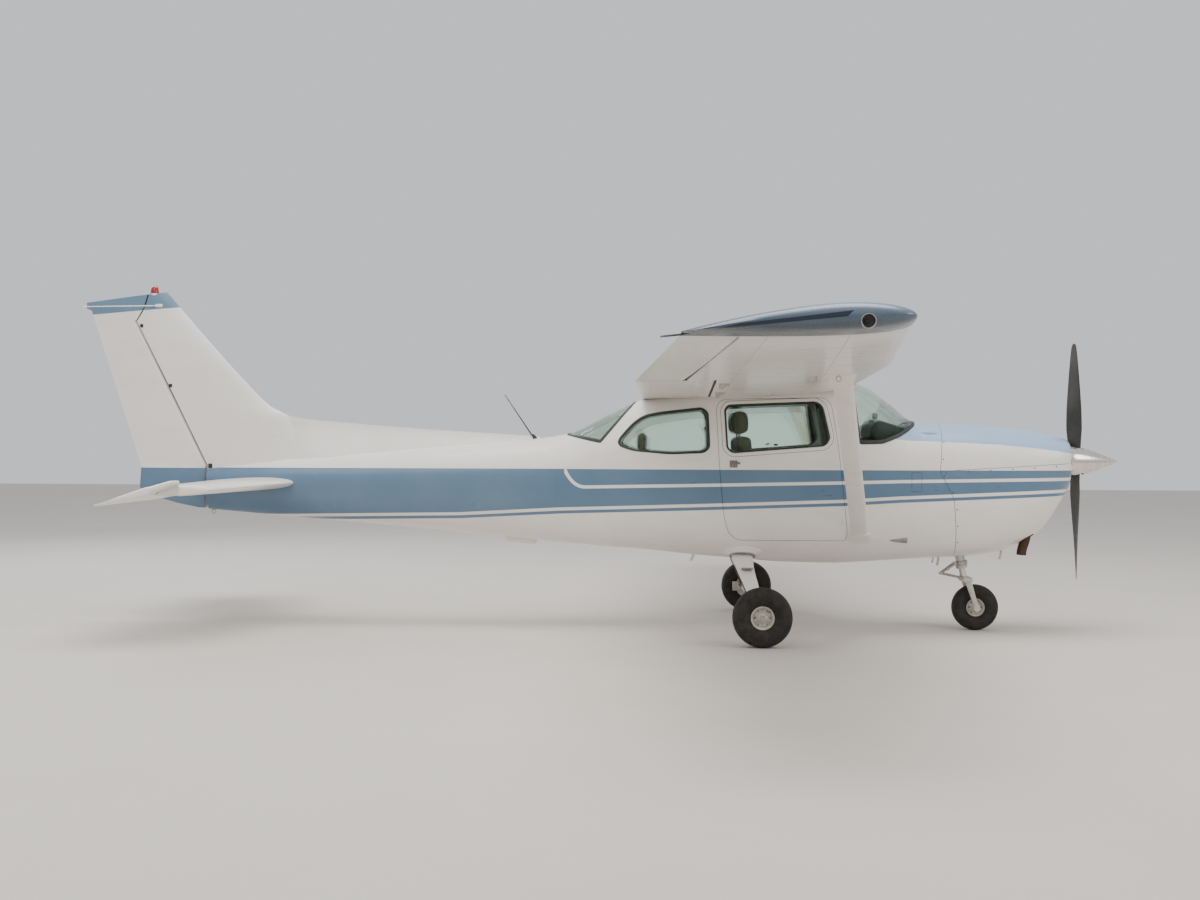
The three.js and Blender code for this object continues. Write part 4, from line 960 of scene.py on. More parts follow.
def inletTool(side, grow=0.0, x0=2.2, x1=2.5):
    c = cowling
    return loft([[(x, side * c["inletY"] + (c["inletWide"] + grow) * signedPower(math.cos(a), 0.85),
                   c["inletZ"] + (c["inletHigh"] + grow) * signedPower(math.sin(a), 0.85))
                  for a in (2 * math.pi * k / 40 for k in range(40))] for x in (x0, x1)])


def makeCowl():
    shell = combine(bodySolid(0, 1.30, 2.388), bodySolid(body["cowlWall"], 1.26, 2.378))
    edge = [(x + 0.002, z) for x, z in body["cowlEdge"]]
    combine(shell, prism(edge + [(2.6, 0.4), (2.6, 1.75)], -1, 1), "INTERSECT")
    for side in (1, -1):
        combine(shell, inletTool(side))
    combine(shell, rod([(2.3, 0, 1.307), (2.5, 0, 1.307)], cowling["shaftHole"], 40))
    combine(shell, rod([(1.657, 0, 0.176), (1.557, 0, 0.722)], 0.062, 32))
    combine(shell, rod([(2.000, -0.180, 0.5), (2.072, -0.180, 0.86)], 0.058, 32))
    return shell


wholeCowl = makeCowl()
lowerCowl = wholeCowl.copy()
lowerCowl.data = wholeCowl.data.copy()
scene.collection.objects.link(lowerCowl)
seamLine = body["cowlSeam"]
combine(wholeCowl, prism([(seamLine[0][0], seamLine[0][1] + 0.001), (seamLine[1][0], seamLine[1][1] + 0.001),
                          (2.5, 1.9), (1.3, 1.9)], -1, 1), "INTERSECT")
combine(lowerCowl, prism([(seamLine[0][0], seamLine[0][1] - 0.001), (seamLine[1][0], seamLine[1][1] - 0.001),
                          (2.5, 1.9), (1.3, 1.9)], -1, 1))
skinPiece(wholeCowl, "upperCowl", bodyPaint, "airframe", ["upper_cowl"], castIron, 0.006)
skinPiece(lowerCowl, "lowerCowl", bodyPaint, "airframe", ["lower_cowl"], castIron, 0.006)
print("cowls made")


# ---- windows

panes = {"depth": 0.005, "thickness": 0.005, "gasket": 0.0075, "rise": 0.0035}


def makePane(tool):
    skin = combine(bodySolid(panes["depth"], -1.56, 1.30),
                   bodySolid(panes["depth"] + panes["thickness"], -1.60, 1.34))
    return combine(skin, tool, "INTERSECT")


for name, side, obj in pair(lambda: makePane(sideTool(offsetOutline(rounded["doorGlass"], -0.006), 1))):
    finishPiece(obj, name + "DoorPane", glass, name + "_door", [name + "_door_glass"], 30)
for name, side, obj in pair(lambda: makePane(sideTool(offsetOutline(rounded["rearGlass"], -0.006), 1))):
    finishPiece(obj, name + "RearPane", glass, "airframe", [name + "_rear_glass"], 30)
screen = makePane(prism(offsetOutline(rounded["windshield"], -0.006), -1, 1))
finishPiece(screen, "windshieldPane", glass, "airframe", ["windshield"], 30)
finishPiece(makePane(prism(offsetOutline(rounded["rearWindow"], -0.006), -1, 1)), "rearWindowPane", glass,
            "airframe",
            ["rear_window"], 30)

for name, side, obj in pair(lambda: ribbonOnSkin(rounded["doorGlass"], 1, panes["gasket"], panes["rise"],
                                                 0.012)):
    finishPiece(obj, name + "DoorGasket", gasket, name + "_door")
for name, side, obj in pair(lambda: ribbonOnSkin(rounded["rearGlass"], 1, panes["gasket"], panes["rise"],
                                                 0.012)):
    finishPiece(obj, name + "RearGasket", gasket, "airframe")


def acrossNose(points, side=1):
    # a line on one side carried over the top to the other side
    row = [skinPoint(x, z, side) for x, z in points]
    return row + [Vector((p.x, -p.y, p.z)) for p in reversed(row)]


def bandAlong(path, halfWidth, rise, sink):
    # a soft-edged strip along points that lie on the fuselage
    rings = []
    for i, p in enumerate(path):
        t = (path[min(i + 1, len(path) - 1)] - path[max(i - 1, 0)]).normalized()
        n = skinNormal(p)[0]
        w = n.cross(t).normalized()
        rings.append([p + w * a * halfWidth + n * up for a, up in
                      ((-1, -sink), (-0.92, rise * 0.6), (-0.5, rise), (0.5, rise), (0.92, rise * 0.6),
                       (1, -sink))])
    return loft(rings)


def densify(points, spacing=0.012):
    path = []
    for a, b in zip(points, points[1:]):
        a, b = Vector(a), Vector(b)
        steps = max(1, math.ceil((b - a).length / spacing))
        path += [a.lerp(b, k / steps) for k in range(steps)]
    return [tuple(p) for p in path] + [tuple(points[-1])]


def overTheTop(points):
    # keeps the part of a side line that lies on the fuselage and ends it on the centre line
    kept = [p for p in densify(points) if p[1] < bodyLines(p[0])[0] - 0.0006]
    x = kept[-1][0]
    kept.append((x, bodyLines(x)[0] - 0.00001))
    return kept


screenEdge = [(0.708, 1.835), (0.748, 1.475), (0.756, 1.456), (0.775, 1.4475), (0.925, 1.452), (0.985, 1.474),
              (1.054, 1.504), (1.110, 1.538), (1.165, 1.575), (1.236, 1.640)]
path = acrossNose(overTheTop(screenEdge))
finishPiece(bandAlong(path, 0.016, 0.004, 0.012), "windshieldGasket", gasket, "airframe")
rearEdge = [(-0.928, 1.752), (-1.188, 1.446), (-1.440, 1.497), (-1.478, 1.560)]
rearRow = [p for p in densify(rearEdge) if p[1] < bodyLines(p[0])[0] - 0.0006]
finishPiece(bandAlong(acrossNose(rearRow), 0.013, 0.004, 0.012), "rearWindowGasket", gasket, "airframe")
print("windows made")


# ---- tail

tail = {
    "hinge": (-4.374, 1.223), "rake": -0.5, "thickness": 0.085, "hornBase": 2.394,
    "finLead": [(1.180, -3.500), (1.223, -3.520), (1.560, -3.660), (1.642, -3.700), (1.713, -3.835),
                (1.793, -3.928),
                (2.049, -4.173), (2.321, -4.418), (2.530, -4.599), (2.600, -4.655), (2.660, -4.712)],
    "rudderTrail": [(0.905, -4.420), (0.956, -4.660), (1.067, -4.906), (1.220, -4.890), (2.483, -5.306),
                    (2.500, -5.347), (2.660, -5.347)],
    "hornLine": [(2.394, -4.936), (2.499, -4.870), (2.660, -4.822)],
    "dorsal": [(-1.680, 1.484), (-1.998, 1.504), (-2.556, 1.537), (-3.118, 1.579), (-3.522, 1.612),
               (-3.684, 1.642), (-3.800, 1.700)],
    "topCut": [(-4.600, 2.640), (-4.706, 2.627), (-5.400, 2.542), (-5.400, 2.900), (-4.300, 2.900)],
}


def hingeX(z):
    return tail["hinge"][0] + tail["rake"] * (z - tail["hinge"][1])


def finSlice(z, x0, x1, nose=False, count=24):
    lead, trail = lookup(tail["finLead"], z), lookup(tail["rudderTrail"], max(z, 1.22))
    chord = lead - trail

    def half(x):
        return max(chord * halfThick(tail["thickness"], min(max((lead - x) / chord, 0), 1)), 0.0015)
    xs = [mix(x0, x1, 1 - math.cos(math.pi * i / (2 * count))) for i in range(count + 1)]
    ring = [(x, half(x), z) for x in xs] + [(x, -half(x), z) for x in reversed(xs)]
    if not nose:
        return ring
    r = half(x0)
    return ring + [(x0 + r * math.cos(a), r * math.sin(a), z)
                   for a in (math.radians(d) for d in range(-75, 90, 15))]


def finLevels(*key, step=0.06):
    levels = [key[0]]
    for a, b in zip(key, key[1:]):
        n = max(1, math.ceil((b - a) / step))
        levels += [mix(a, b, k / n) for k in range(1, n + 1)]
    return levels


def makeFin():
    def trim(z):
        return hingeX(z) + 0.046 if z < tail["hornBase"] else lookup(tail["hornLine"], z) + 0.010
    levels = finLevels(1.18, 1.56, 1.642, 1.713, 1.793, 2.384) + [2.3941] + finLevels(2.41, 2.53, 2.66)
    blade = loft([finSlice(z, lookup(tail["finLead"], z), trim(z)) for z in levels])
    spine = smoothTable([(x, top) for x, top in tail["dorsal"]])
    rings = []
    for x in [mix(-3.80, -1.68, k / 40) for k in range(41)]:
        top, base = spine(x)[0], bodyLines(x)[0] - 0.04
        wide = mix(0.024, 0.100, min(max((-1.6 - x) / 2, 0), 1))
        wide = mix(wide, 0.022, min(max((-3.42 - x) / 0.38, 0), 1))
        ring = []
        for k in range(25):
            f = k / 24 * 2 - 1
            rise = (1 - abs(f)) ** 0.8
            ring.append((x, wide * f * (0.12 + 0.88 * abs(f) ** 0.7), mix(base, top, min(1, rise * 1.02))))
        rings.append(ring)
    combine(blade, loft(rings), "UNION")
    combine(blade, prism(tail["topCut"], -0.3, 0.3))
    cone = bodySolid(0, -4.334, -1.45)
    cone.data.transform(Matrix.Translation((0, 0, 0.0004)))
    return combine(blade, cone)


def makeRudder():
    levels = finLevels(1.235, 1.6, 2.394, 2.483, 2.5, 2.66)
    blade = loft([finSlice(z, hingeX(z), lookup(tail["rudderTrail"], z), True) for z in levels])
    halves = smoothTable([(0.905, 0.034), (0.956, 0.044), (1.067, 0.048), (1.160, 0.046), (1.236, 0.038)])
    trail = smoothTable([(0.905, -4.420), (0.93, -4.560), (0.956, -4.660), (1.0, -4.800), (1.067, -4.906),
                         (1.16, -4.900), (1.240, -4.896)])
    rings = []
    for z in finLevels(0.905, 1.236, step=0.012):
        wide, back = halves(z)[0], trail(z)[0]
        ring = []
        for k in range(33):
            a = math.pi * (k / 32 - 0.5)
            ring.append((mix(back, -4.362, 1 - math.cos(a) ** 0.62), wide * signedPower(math.sin(a), 0.9), z))
        rings.append(ring)
    combine(blade, loft(rings), "UNION")
    horn = loft([finSlice(z, lookup(tail["hornLine"], z), hingeX(z) - 0.02) for z in finLevels(2.402, 2.499,
                                                                                               2.66)])
    combine(blade, horn, "UNION")
    return combine(blade, prism(tail["topCut"], -0.3, 0.3))


finishPiece(makeFin(), "finSkin", finPaint, "airframe", ["fin"], 28)
finishPiece(makeRudder(), "rudderSkin", rudderPaint, "rudder", ["rudder"], 28)

plane = {"hinge": (-4.306, 1.088), "lead": (-3.589, 1.112), "tipLead": (-3.850, 1.104), "halfSpan": 1.725,
         "hornY": 1.560, "lastRib": 1.700, "elevatorChord": 0.420, "tipElevatorChord": 0.385, "droop": 13.5,
         "thickness": 0.09, "gap": 0.008, "hornReach": 0.200, "hornZ": 1.107}


def tailSlice(y, part, count=20):
    f = min(y / plane["lastRib"], 1)
    lead = [mix(a, b, f) for a, b in zip(plane["lead"], plane["tipLead"])]
    hx, hz = plane["hinge"]
    rear = mix(plane["elevatorChord"], plane["tipElevatorChord"], f)
    chord, slope = lead[0] - hx + rear, (lead[1] - hz) / (lead[0] - hx)

    def half(x):
        return max(chord * halfThick(plane["thickness"], min(max((lead[0] - x) / chord, 0), 1)), 0.0015)

    def point(x, v):
        return (x, y, hz + slope * (x - hx) + v)
    r = half(hx)
    reach = {"fixed": (lead[0], hx + r * 0.55 + plane["gap"]),
             "tip": (lead[0], hx + plane["hornReach"] + 0.026),
             "moving": (hx, hx - rear)}[part]
    xs = [mix(*reach, 1 - math.cos(math.pi * i / (2 * count))) for i in range(count + 1)]
    upper, lower = [point(x, half(x)) for x in xs], [point(x, -half(x)) for x in reversed(xs)]

    def arc(radius, height, sign):
        return [point(hx + radius * math.cos(a), sign * height * math.sin(a))
                for a in (math.radians(d) for d in range(75, -90, -15))]
    if part == "tip":
        return upper + lower
    if part == "moving":
        return upper + lower + arc(r, r, -1)
    return upper + arc(r + plane["gap"], r * 0.95, 1) + lower


def makeStabilizer():
    inner = plane["hornY"] - plane["gap"]
    main = loft([tailSlice(y, "fixed") for y in spanSteps(0.06, inner, 0.2)])
    lastRib = tailSlice(plane["lastRib"], "tip")
    rings = [tailSlice(inner - 0.001, "tip"), tailSlice(mix(inner, 1.7, 0.5), "tip"), lastRib]
    for grow in (0.5, 0.8, 1.0):
        y = mix(plane["lastRib"], plane["halfSpan"], math.sin(grow * math.pi / 2))
        rings.append([(mix(p[0], -3.96, 0.3 * grow ** 2), y,
                       mix(p[2], 1.092, 0.72 * grow ** 2)) for p in lastRib])
    combine(main, loft(rings), "UNION")
    return combine(main, bodySolid(-0.0004, -4.334, -3.2))


def makeElevator():
    hx, hz = plane["hinge"]
    inner = [(x, mix(0.128, 0.232, (hx - x) / 0.42), z) for x, _, z in tailSlice(0, "moving")]
    lastRib = tailSlice(plane["lastRib"], "moving")
    rings = [inner] + [tailSlice(y, "moving") for y in spanSteps(0.26, plane["lastRib"], 0.2)]
    for grow in (0.5, 0.8, 1.0):
        y = mix(plane["lastRib"], plane["halfSpan"], math.sin(grow * math.pi / 2))
        rings.append([(x, y, mix(z, hz, 0.62 * grow ** 2)) for x, _, z in lastRib])
    half = loft(rings)
    horns = []
    for y, back, front in ((plane["hornY"], 0.026, 0.006), (1.63, 0.0255, 0.006), (1.7, 0.024, 0.006),
                           (1.715, 0.018, 0.005), (plane["halfSpan"], 0.010, 0.003)):
        ring = []
        for k in range(13):
            x = mix(hx - 0.06, hx + plane["hornReach"], k / 12)
            ring.append((x, y, mix(back, front * 3,
                                   (k / 12) ** 1.2) if k < 11 else front * (3 if k == 11 else 1.4)))
        top = [(x, yy, mix(hz, plane["hornZ"], k / 12) + h) for k, (x, yy, h) in enumerate(ring)]
        under = [(x, yy, mix(hz, plane["hornZ"], k / 12) - h) for k, (x, yy, h) in enumerate(ring)]
        horns.append(top + list(reversed(under)))
    return combine(half, loft(horns), "UNION")


for name, side, obj in pair(makeStabilizer):
    finishPiece(obj, name + "Stabilizer", paint, "airframe", [name + "_stabilizer"], 30)


def droopTurn():
    hx, hz = plane["hinge"]
    pivot = Matrix.Translation((hx, 0, hz))
    return pivot @ Matrix.Rotation(math.radians(-plane["droop"]), 4, "Y") @ pivot.inverted()


elevatorHalves = [obj for name, side, obj in pair(makeElevator)]
tube = rod([(plane["hinge"][0], -0.16, plane["hinge"][1]), (plane["hinge"][0], 0.16, plane["hinge"][1])],
           0.013, 24)
wholeElevator = gather(elevatorHalves + [tube])
wholeElevator.data.transform(droopTurn())
finishPiece(wholeElevator, "elevatorSkin", paint, "elevator", ["elevator"], 30)
print("tail made")


# ---- wheels

wheels = {
    "main": {"radius": 0.212, "half": 0.079, "rim": 0.084, "grooves": (-0.038, -0.013, 0.013, 0.038),
             "bolts": 6,
             "bore": 0.0205},
    "nose": {"radius": 0.176, "half": 0.063, "rim": 0.070, "grooves": (-0.026, 0, 0.026), "bolts": 6,
             "bore": 0.0125},
}


def makeTyre(spec, centre):
    r, h, rim = spec["radius"], spec["half"], spec["rim"]
    side = smoothTable([(0.0, rim + 0.001, 0.66), (0.10, rim + 0.010, 0.72), (0.22, r * 0.53, 0.86),
                        (0.42, r * 0.66, 0.985),
                        (0.52, r * 0.74, 1.0), (0.68, r * 0.85, 0.955), (0.82, r * 0.93, 0.83),
                        (0.93, r * 0.972, 0.68),
                        (1.0, r * 0.985, 0.56)])
    flank = [(side(k / 22)[0], side(k / 22)[1] * h) for k in range(23)]
    flank[2] = (flank[2][0], flank[2][1] + 0.0016)
    tread, depth, wide = [], 0.0045, 0.0032
    for g in sorted(spec["grooves"], reverse=True):
        def crown(at):
            return r - 0.015 * r * (abs(at) / (0.56 * h)) ** 2.4
        tread += [(crown(g + wide), g + wide), (crown(g) - depth, g + wide * 0.6),
                  (crown(g) - depth, g - wide * 0.6),
                  (crown(g - wide), g - wide)]
    inside = [(rim + 0.001, -0.66 * h), (rim + 0.001, 0.66 * h)]
    profile = flank + tread + [(a, -b) for a, b in reversed(flank)][:-1] + inside[:1]
    return turned(profile, centre, "y", 96)


def makeRim(spec, centre):
    r, h, bore = spec["rim"] - 0.0004, spec["half"], spec["bore"]
    profile = [(bore, -h * 0.50), (r * 0.42, -h * 0.50), (r * 0.50, -h * 0.30), (r * 0.78, -h * 0.20),
               (r * 0.84, -h * 0.52), (r * 0.90, -h * 0.63), (r * 0.97, -h * 0.68), (r, -h * 0.64),
               (r, h * 0.64),
               (r * 0.97, h * 0.68), (r * 0.90, h * 0.63), (r * 0.84, h * 0.52), (r * 0.78, h * 0.20),
               (r * 0.50, h * 0.30), (r * 0.42, h * 0.50), (bore, h * 0.50)]
    parts = [turned(profile, centre, "y", 72)]
    c = Vector(centre)
    for k in range(8):
        a = 2 * math.pi * (k + 0.5) / 8
        web = softBlock(-0.006, 0.006, h * 0.18, h * 0.36, r * 0.44, r * 0.80, 0.003, 2)
        web.data.transform(Matrix.Rotation(a, 4, "Y"))
        both = [web, mirrorOf(web)]
        for w in both:
            w.data.transform(Matrix.Translation(c))
        parts += both
    return gather(parts)


def wheelBolts(spec, centre):
    r, h = spec["rim"], spec["half"]
    places = []
    c = Vector(centre)
    for face in (1, -1):
        for k in range(spec["bolts"]):
            a = 2 * math.pi * k / spec["bolts"]
            places.append((c + Vector((0.64 * r * math.cos(a), face * (h * 0.26), 0.64 * r * math.sin(a))),
                           (0, face, 0)))
    return studs(places, 0.0065, 0.006, 6)


def hubCap(spec, centre, side):
    r, h = spec["rim"], spec["half"]
    s = side
    profile = [(0.0005, s * h * 0.80), (r * 0.20, s * h * 0.79), (r * 0.32, s * h * 0.72),
               (r * 0.36, s * h * 0.60),
               (r * 0.40, s * h * 0.52), (r * 0.40, s * h * 0.49), (0.0005, s * h * 0.49)]
    return turned(profile, centre, "y", 40)


mainCentre = {"left": (0, 1.2765, 0.212), "right": (0, -1.2765, 0.212)}
for name, side in (("left", 1), ("right", -1)):
    centre, spec, wheelBody = mainCentre[name], wheels["main"], name + "_main_wheel"
    finishPiece(makeTyre(spec, centre), name + "MainTyre", rubber, wheelBody, [name + "_main_tyre"],
                28)
    finishPiece(makeRim(spec, centre), name + "MainRim", rimPaint, wheelBody, [name + "_main_rim"],
                32)
    finishPiece(wheelBolts(spec, centre), name + "WheelBolts", screwSteel, wheelBody)
    finishPiece(hubCap(spec, centre, side), name + "HubCap", rimPaint, wheelBody)
    valve = rod([(0.050, centre[1] + side * 0.016, 0.252), (0.050, centre[1] + side * 0.050, 0.258)], 0.004,
                10)
    finishPiece(valve, name + "TyreValve", blackPlastic, wheelBody)
    disc = turned([(0.050, -0.004), (0.094, -0.004), (0.094, 0.004), (0.050, 0.004)],
                  (0, side * 1.2185, 0.212), "y", 64)
    finishPiece(disc, name + "BrakeDisc", steel, wheelBody)
noseCentre = (1.700, 0, 0.176)
finishPiece(makeTyre(wheels["nose"], noseCentre), "noseTyre", rubber, "nose_wheel", ["nose_tyre"],
            28)
finishPiece(makeRim(wheels["nose"], noseCentre), "noseRim", rimPaint, "nose_wheel", ["nose_rim"],
            32)
finishPiece(wheelBolts(wheels["nose"], noseCentre), "noseWheelBolts", screwSteel, "nose_wheel")
print("wheels made")


# ---- landing gear

gear = {
    "leg": [(-0.105, 0.300, 0.590, 0.080, 0.018), (-0.105, 0.430, 0.566, 0.078, 0.017),
            (-0.092, 0.620, 0.500, 0.066, 0.015),
            (-0.060, 0.840, 0.400, 0.054, 0.013), (-0.028, 1.030, 0.298, 0.045, 0.012),
            (-0.006, 1.120, 0.244, 0.042, 0.012), (0, 1.152, 0.212, 0.042, 0.012)],
    "steerFoot": (1.657, 0.176), "steerHead": (1.572, 0.640), "forkY": 0.092,
}


def makeLeg():
    lines = smoothTable([(y, x, z, half, thick) for x, y, z, half, thick in gear["leg"]])
    rings = []
    ys = [mix(0.300, 1.152, k / 34) for k in range(35)]
    for y in ys:
        x, z, half, thick = lines(y)
        z0, z1 = lines(y - 0.004)[1], lines(y + 0.004)[1]
        n = Vector((0, -(z1 - z0), 0.008)).normalized()
        ring = []
        for k in range(28):
            a = 2 * math.pi * k / 28
            ring.append(Vector((x + half * signedPower(math.cos(a), 0.75), y, z))
                        + n * thick * signedPower(math.sin(a), 0.62))
        rings.append(ring)
    leg = loft(rings)
    combine(leg, rod([(0, 1.140, 0.212), (0, 1.166, 0.212)], 0.046, 40), "UNION")
    return combine(leg, bodySolid(-0.0004, -0.5, 0.3))


def makeLegFairing():
    # the oval fairing where the leg leaves the belly, with its rolled edge
    rings = []
    for grow, out in ((1.0, -0.012), (1.0, 0.002), (0.97, 0.010), (0.80, 0.020), (0.74, 0.040), (0.70, 0.046),
                      (0.66, 0.040)):
        ring = []
        for k in range(48):
            a = 2 * math.pi * k / 48
            x = -0.103 + 0.150 * grow * math.cos(a)
            z = 0.606 + 0.052 * grow * math.sin(a) - out * 0.55
            ring.append(Vector((x, skinPoint(x, max(z, 0.570), 1).y + out * 0.85, z)))
        rings.append(ring)
    return loft(rings, closedEnds=False)


for name, side, obj in pair(makeLeg):
    finishPiece(obj, name + "GearLeg", paint, "airframe", [name + "_gear_leg"], 40)


def fairingShell():
    obj = makeLegFairing()
    tool = obj.modifiers.new("sheet", "SOLIDIFY")
    tool.thickness = 0.002
    return applyAll(obj)


for name, side, obj in pair(fairingShell):
    finishPiece(obj, name + "LegFairing", paint, "airframe")


def makeAxle():
    z = 0.212
    parts = [rod([(0, 1.1664, z), (0, 1.338, z), (0, 1.346, z)], [0.020, 0.020, 0.016], 32),
             rod([(0, 1.1664, z), (0, 1.180, z)], 0.044, 40),
             softBlock(-0.122, -0.066, 1.168, 1.192, z - 0.038, z + 0.042, 0.006),
             softBlock(-0.130, -0.074, 1.205, 1.212, z - 0.034, z + 0.038, 0.003),
             softBlock(-0.080, 0.0, 1.167, 1.175, z - 0.030, z + 0.030, 0.003)]
    for dz in (-0.020, 0.022):
        parts.append(rod([(-0.104, 1.186, z + dz), (-0.104, 1.218, z + dz)], 0.0055, 14))
    bolts = [(Vector((0.030 * math.cos(a), 1.1795, z + 0.030 * math.sin(a))), (0, 1, 0))
             for a in (math.pi / 4 + k * math.pi / 2 for k in range(4))]
    return gather(parts + [studs(bolts, 0.007, 0.006, 6)])


for name, side, obj in pair(makeAxle):
    finishPiece(obj, name + "Axle", steel, "airframe", [name + "_axle"])


def brakeLine():
    lines = smoothTable([(y, x, z, half, thick) for x, y, z, half, thick in gear["leg"]])
    route = []
    for k in range(40):
        y = mix(0.56, 1.150, k / 39)
        x, z, half, thick = lines(y)
        route.append((x - half - 0.004, y, z - 0.002))
    route += [(-0.075, 1.170, 0.235), (-0.092, 1.180, 0.240)]
    return rod(route, 0.0038, 10)


for name, side, obj in pair(brakeLine):
    finishPiece(obj, name + "BrakeLine", blackPlastic, "airframe")


def gearStep():
    # the folded foot step on the leg
    tread = softBlock(-0.125, -0.035, 0.640, 0.700, 0.508, 0.514, 0.002)
    bracket = softBlock(-0.100, -0.060, 0.650, 0.656, 0.478, 0.510, 0.002)
    return gather([tread, bracket])


for name, side, obj in pair(gearStep):
    finishPiece(obj, name + "FootStep", ventGrey, "airframe")


def steerPoint(z, away=0.0):
    (x0, z0), (x1, z1) = gear["steerFoot"], gear["steerHead"]
    return (mix(x0, x1, (z - z0) / (z1 - z0)) + away, 0, z)


barrel = gather([rod([steerPoint(z) for z in (0.478, 0.482, 0.496, 0.500)], [0.042, 0.044, 0.044, 0.042], 48),
                 rod([steerPoint(0.499), steerPoint(0.700)], 0.036, 48),
                 rod([steerPoint(z) for z in (0.596, 0.600, 0.618, 0.622)], [0.038, 0.041, 0.041, 0.038],
                     48)])
finishPiece(barrel, "noseBarrel", aluminium, "airframe", ["nose_barrel"])


def makeFork():
    x, z, wide = noseCentre[0], noseCentre[2], gear["forkY"]
    parts = [softBlock(1.592, 1.668, -0.112, 0.112, 0.372, 0.412, 0.012, 4)]
    for s in (1, -1):
        y = s * wide
        rings = []
        for f, half, thick in ((0, 0.024, 0.018), (0.25, 0.022, 0.015), (0.6, 0.019, 0.012),
                               (0.88, 0.018, 0.012),
                               (1, 0.019, 0.013)):
            px, pz = mix(1.632, x, f), mix(0.392, z, f)
            rings.append([(px + half * signedPower(math.cos(a), 0.8),
                           y + thick * signedPower(math.sin(a), 0.8), pz
                           + 0.3 * half * math.cos(a)) for a in (2 * math.pi * k / 24 for k in range(24))])
        parts.append(loft(rings))
        parts.append(turned([(0.0005, y - 0.022), (0.023, y - 0.022), (0.026, y - 0.019), (0.026, y + 0.019),
                             (0.023, y + 0.022), (0.0005, y + 0.022)], (x, 0, z), "y", 36))
    return gather(parts)


finishPiece(makeFork(), "noseFork", rimPaint, "nose_steering", ["nose_fork"])
piston = gather([rod([steerPoint(0.395), steerPoint(0.473)], 0.025, 40),
                 rod([(1.700, -0.092, 0.176), (1.700, 0.092, 0.176)], 0.012, 24)])
finishPiece(piston, "oleoPiston", spinnerMetal, "nose_steering")


def makeLinks():
    parts = [turned([(0.041, -0.0135), (0.050, -0.0135), (0.050, 0.0135), (0.041, 0.0135)], (0, 0, 0), "z",
                    48)]
    lean = math.atan2(gear["steerHead"][0] - gear["steerFoot"][0],
                      gear["steerHead"][1] - gear["steerFoot"][1])
    parts[0].data.transform(Matrix.Translation(Vector(steerPoint(0.5185))) @ Matrix.Rotation(lean, 4, "Y"))
    for s in (1, -1):
        for a, b in (((1.546, s * 0.034, 0.512), (1.438, s * 0.017, 0.436)),
                     ((1.438, s * 0.017, 0.436), (1.586, s * 0.034, 0.404))):
            parts.append(rod([a, b], [0.0095, 0.008], 14))
    parts.append(rod([(1.438, -0.026, 0.436), (1.438, 0.026, 0.436)], 0.012, 20))
    parts.append(rod([(1.546, -0.042, 0.512), (1.546, 0.042, 0.512)], 0.012, 20))
    parts.append(softBlock(1.480, 1.500, -0.026, 0.026, 0.458, 0.470, 0.003))
    return gather(parts)


finishPiece(makeLinks(), "torqueLinks", steel, "nose_steering", ["torque_links"])
print("landing gear made")


# ---- strut, exhaust, propeller

strut = {"foot": (0.762, 0.540, 0.742), "head": (0.431, 2.450, 1.905), "chord": 0.128, "thickness": 0.33}


def makeStrut():
    shape = section(strut["thickness"], 0, count=20)
    a, b = Vector(strut["foot"]), Vector(strut["head"])
    d = (b - a).normalized()
    ends = [a - d * 0.060, b + d * 0.030]
    rings = []
    for f in (0, 0.25, 0.5, 0.75, 1):
        p = ends[0].lerp(ends[1], f)
        rings.append([(p.x + (0.5 - u) * strut["chord"], p.y + v * strut["chord"] * d.z,
                       p.z - v * strut["chord"] * abs(d.y)) for u, v in shape])
    strutShape = loft(rings)
    combine(strutShape, bodySolid(-0.0004, 0.4, 1.1))
    under = loft([wingSlice(y) for y in (2.2, 2.56, 2.7)])
    under.data.transform(Matrix.Translation((0, 0, -0.0004)))
    return combine(strutShape, under)


def cuffAt(place, sizes, tilt):
    # a drawn sheet cuff around the strut's end
    shape = section(0.36, 0, count=18)
    rings = []
    for out, size in sizes:
        rings.append([(place[0] + (0.5 - u) * size * 2, place[1] + out + v * size * 0.4,
                       place[2] - v * size * 1.1 + (out - 0.026) * tilt) for u, v in shape])
    return loft(rings)


def makeFootCuff():
    cuff = cuffAt(strut["foot"], ((-0.014, 0.096), (0.010, 0.094), (0.030, 0.088), (0.050, 0.078),
                                  (0.070, 0.068),
                                  (0.074, 0.064)), 0.62)
    return combine(cuff, bodySolid(-0.0004, 0.4, 1.1))


def makeHeadCuff():
    d = (Vector(strut["head"]) - Vector(strut["foot"])).normalized()
    place = Vector(strut["head"]) - d * 0.02
    cuff = cuffAt(place, ((-0.110, 0.066), (-0.104, 0.070), (-0.060, 0.076), (-0.015, 0.088), (0.040, 0.098)),
                  0.62)
    under = loft([wingSlice(y) for y in (2.2, 2.56, 2.7)])
    under.data.transform(Matrix.Translation((0, 0, -0.0004)))
    return combine(cuff, under)


for name, side, obj in pair(lambda: gather([makeStrut(), makeFootCuff(), makeHeadCuff()])):
    finishPiece(obj, name + "Strut", paint, "airframe", [name + "_strut"], 40)

pipe = {"route": [(2.062, -0.180, 0.900), (2.058, -0.180, 0.820), (2.050, -0.180, 0.740),
                  (2.040, -0.180, 0.695),
                  (2.026, -0.180, 0.655), (2.018, -0.180, 0.620), (2.016, -0.180, 0.594)], "radius": 0.0365}
exhaust = rod(pipe["route"], pipe["radius"], 40, closedEnds=False)
shell = exhaust.modifiers.new("wall", "SOLIDIFY")
shell.thickness = 0.0028
finishPiece(applyAll(exhaust), "exhaustPipe", rust, "airframe", ["exhaust_pipe"])

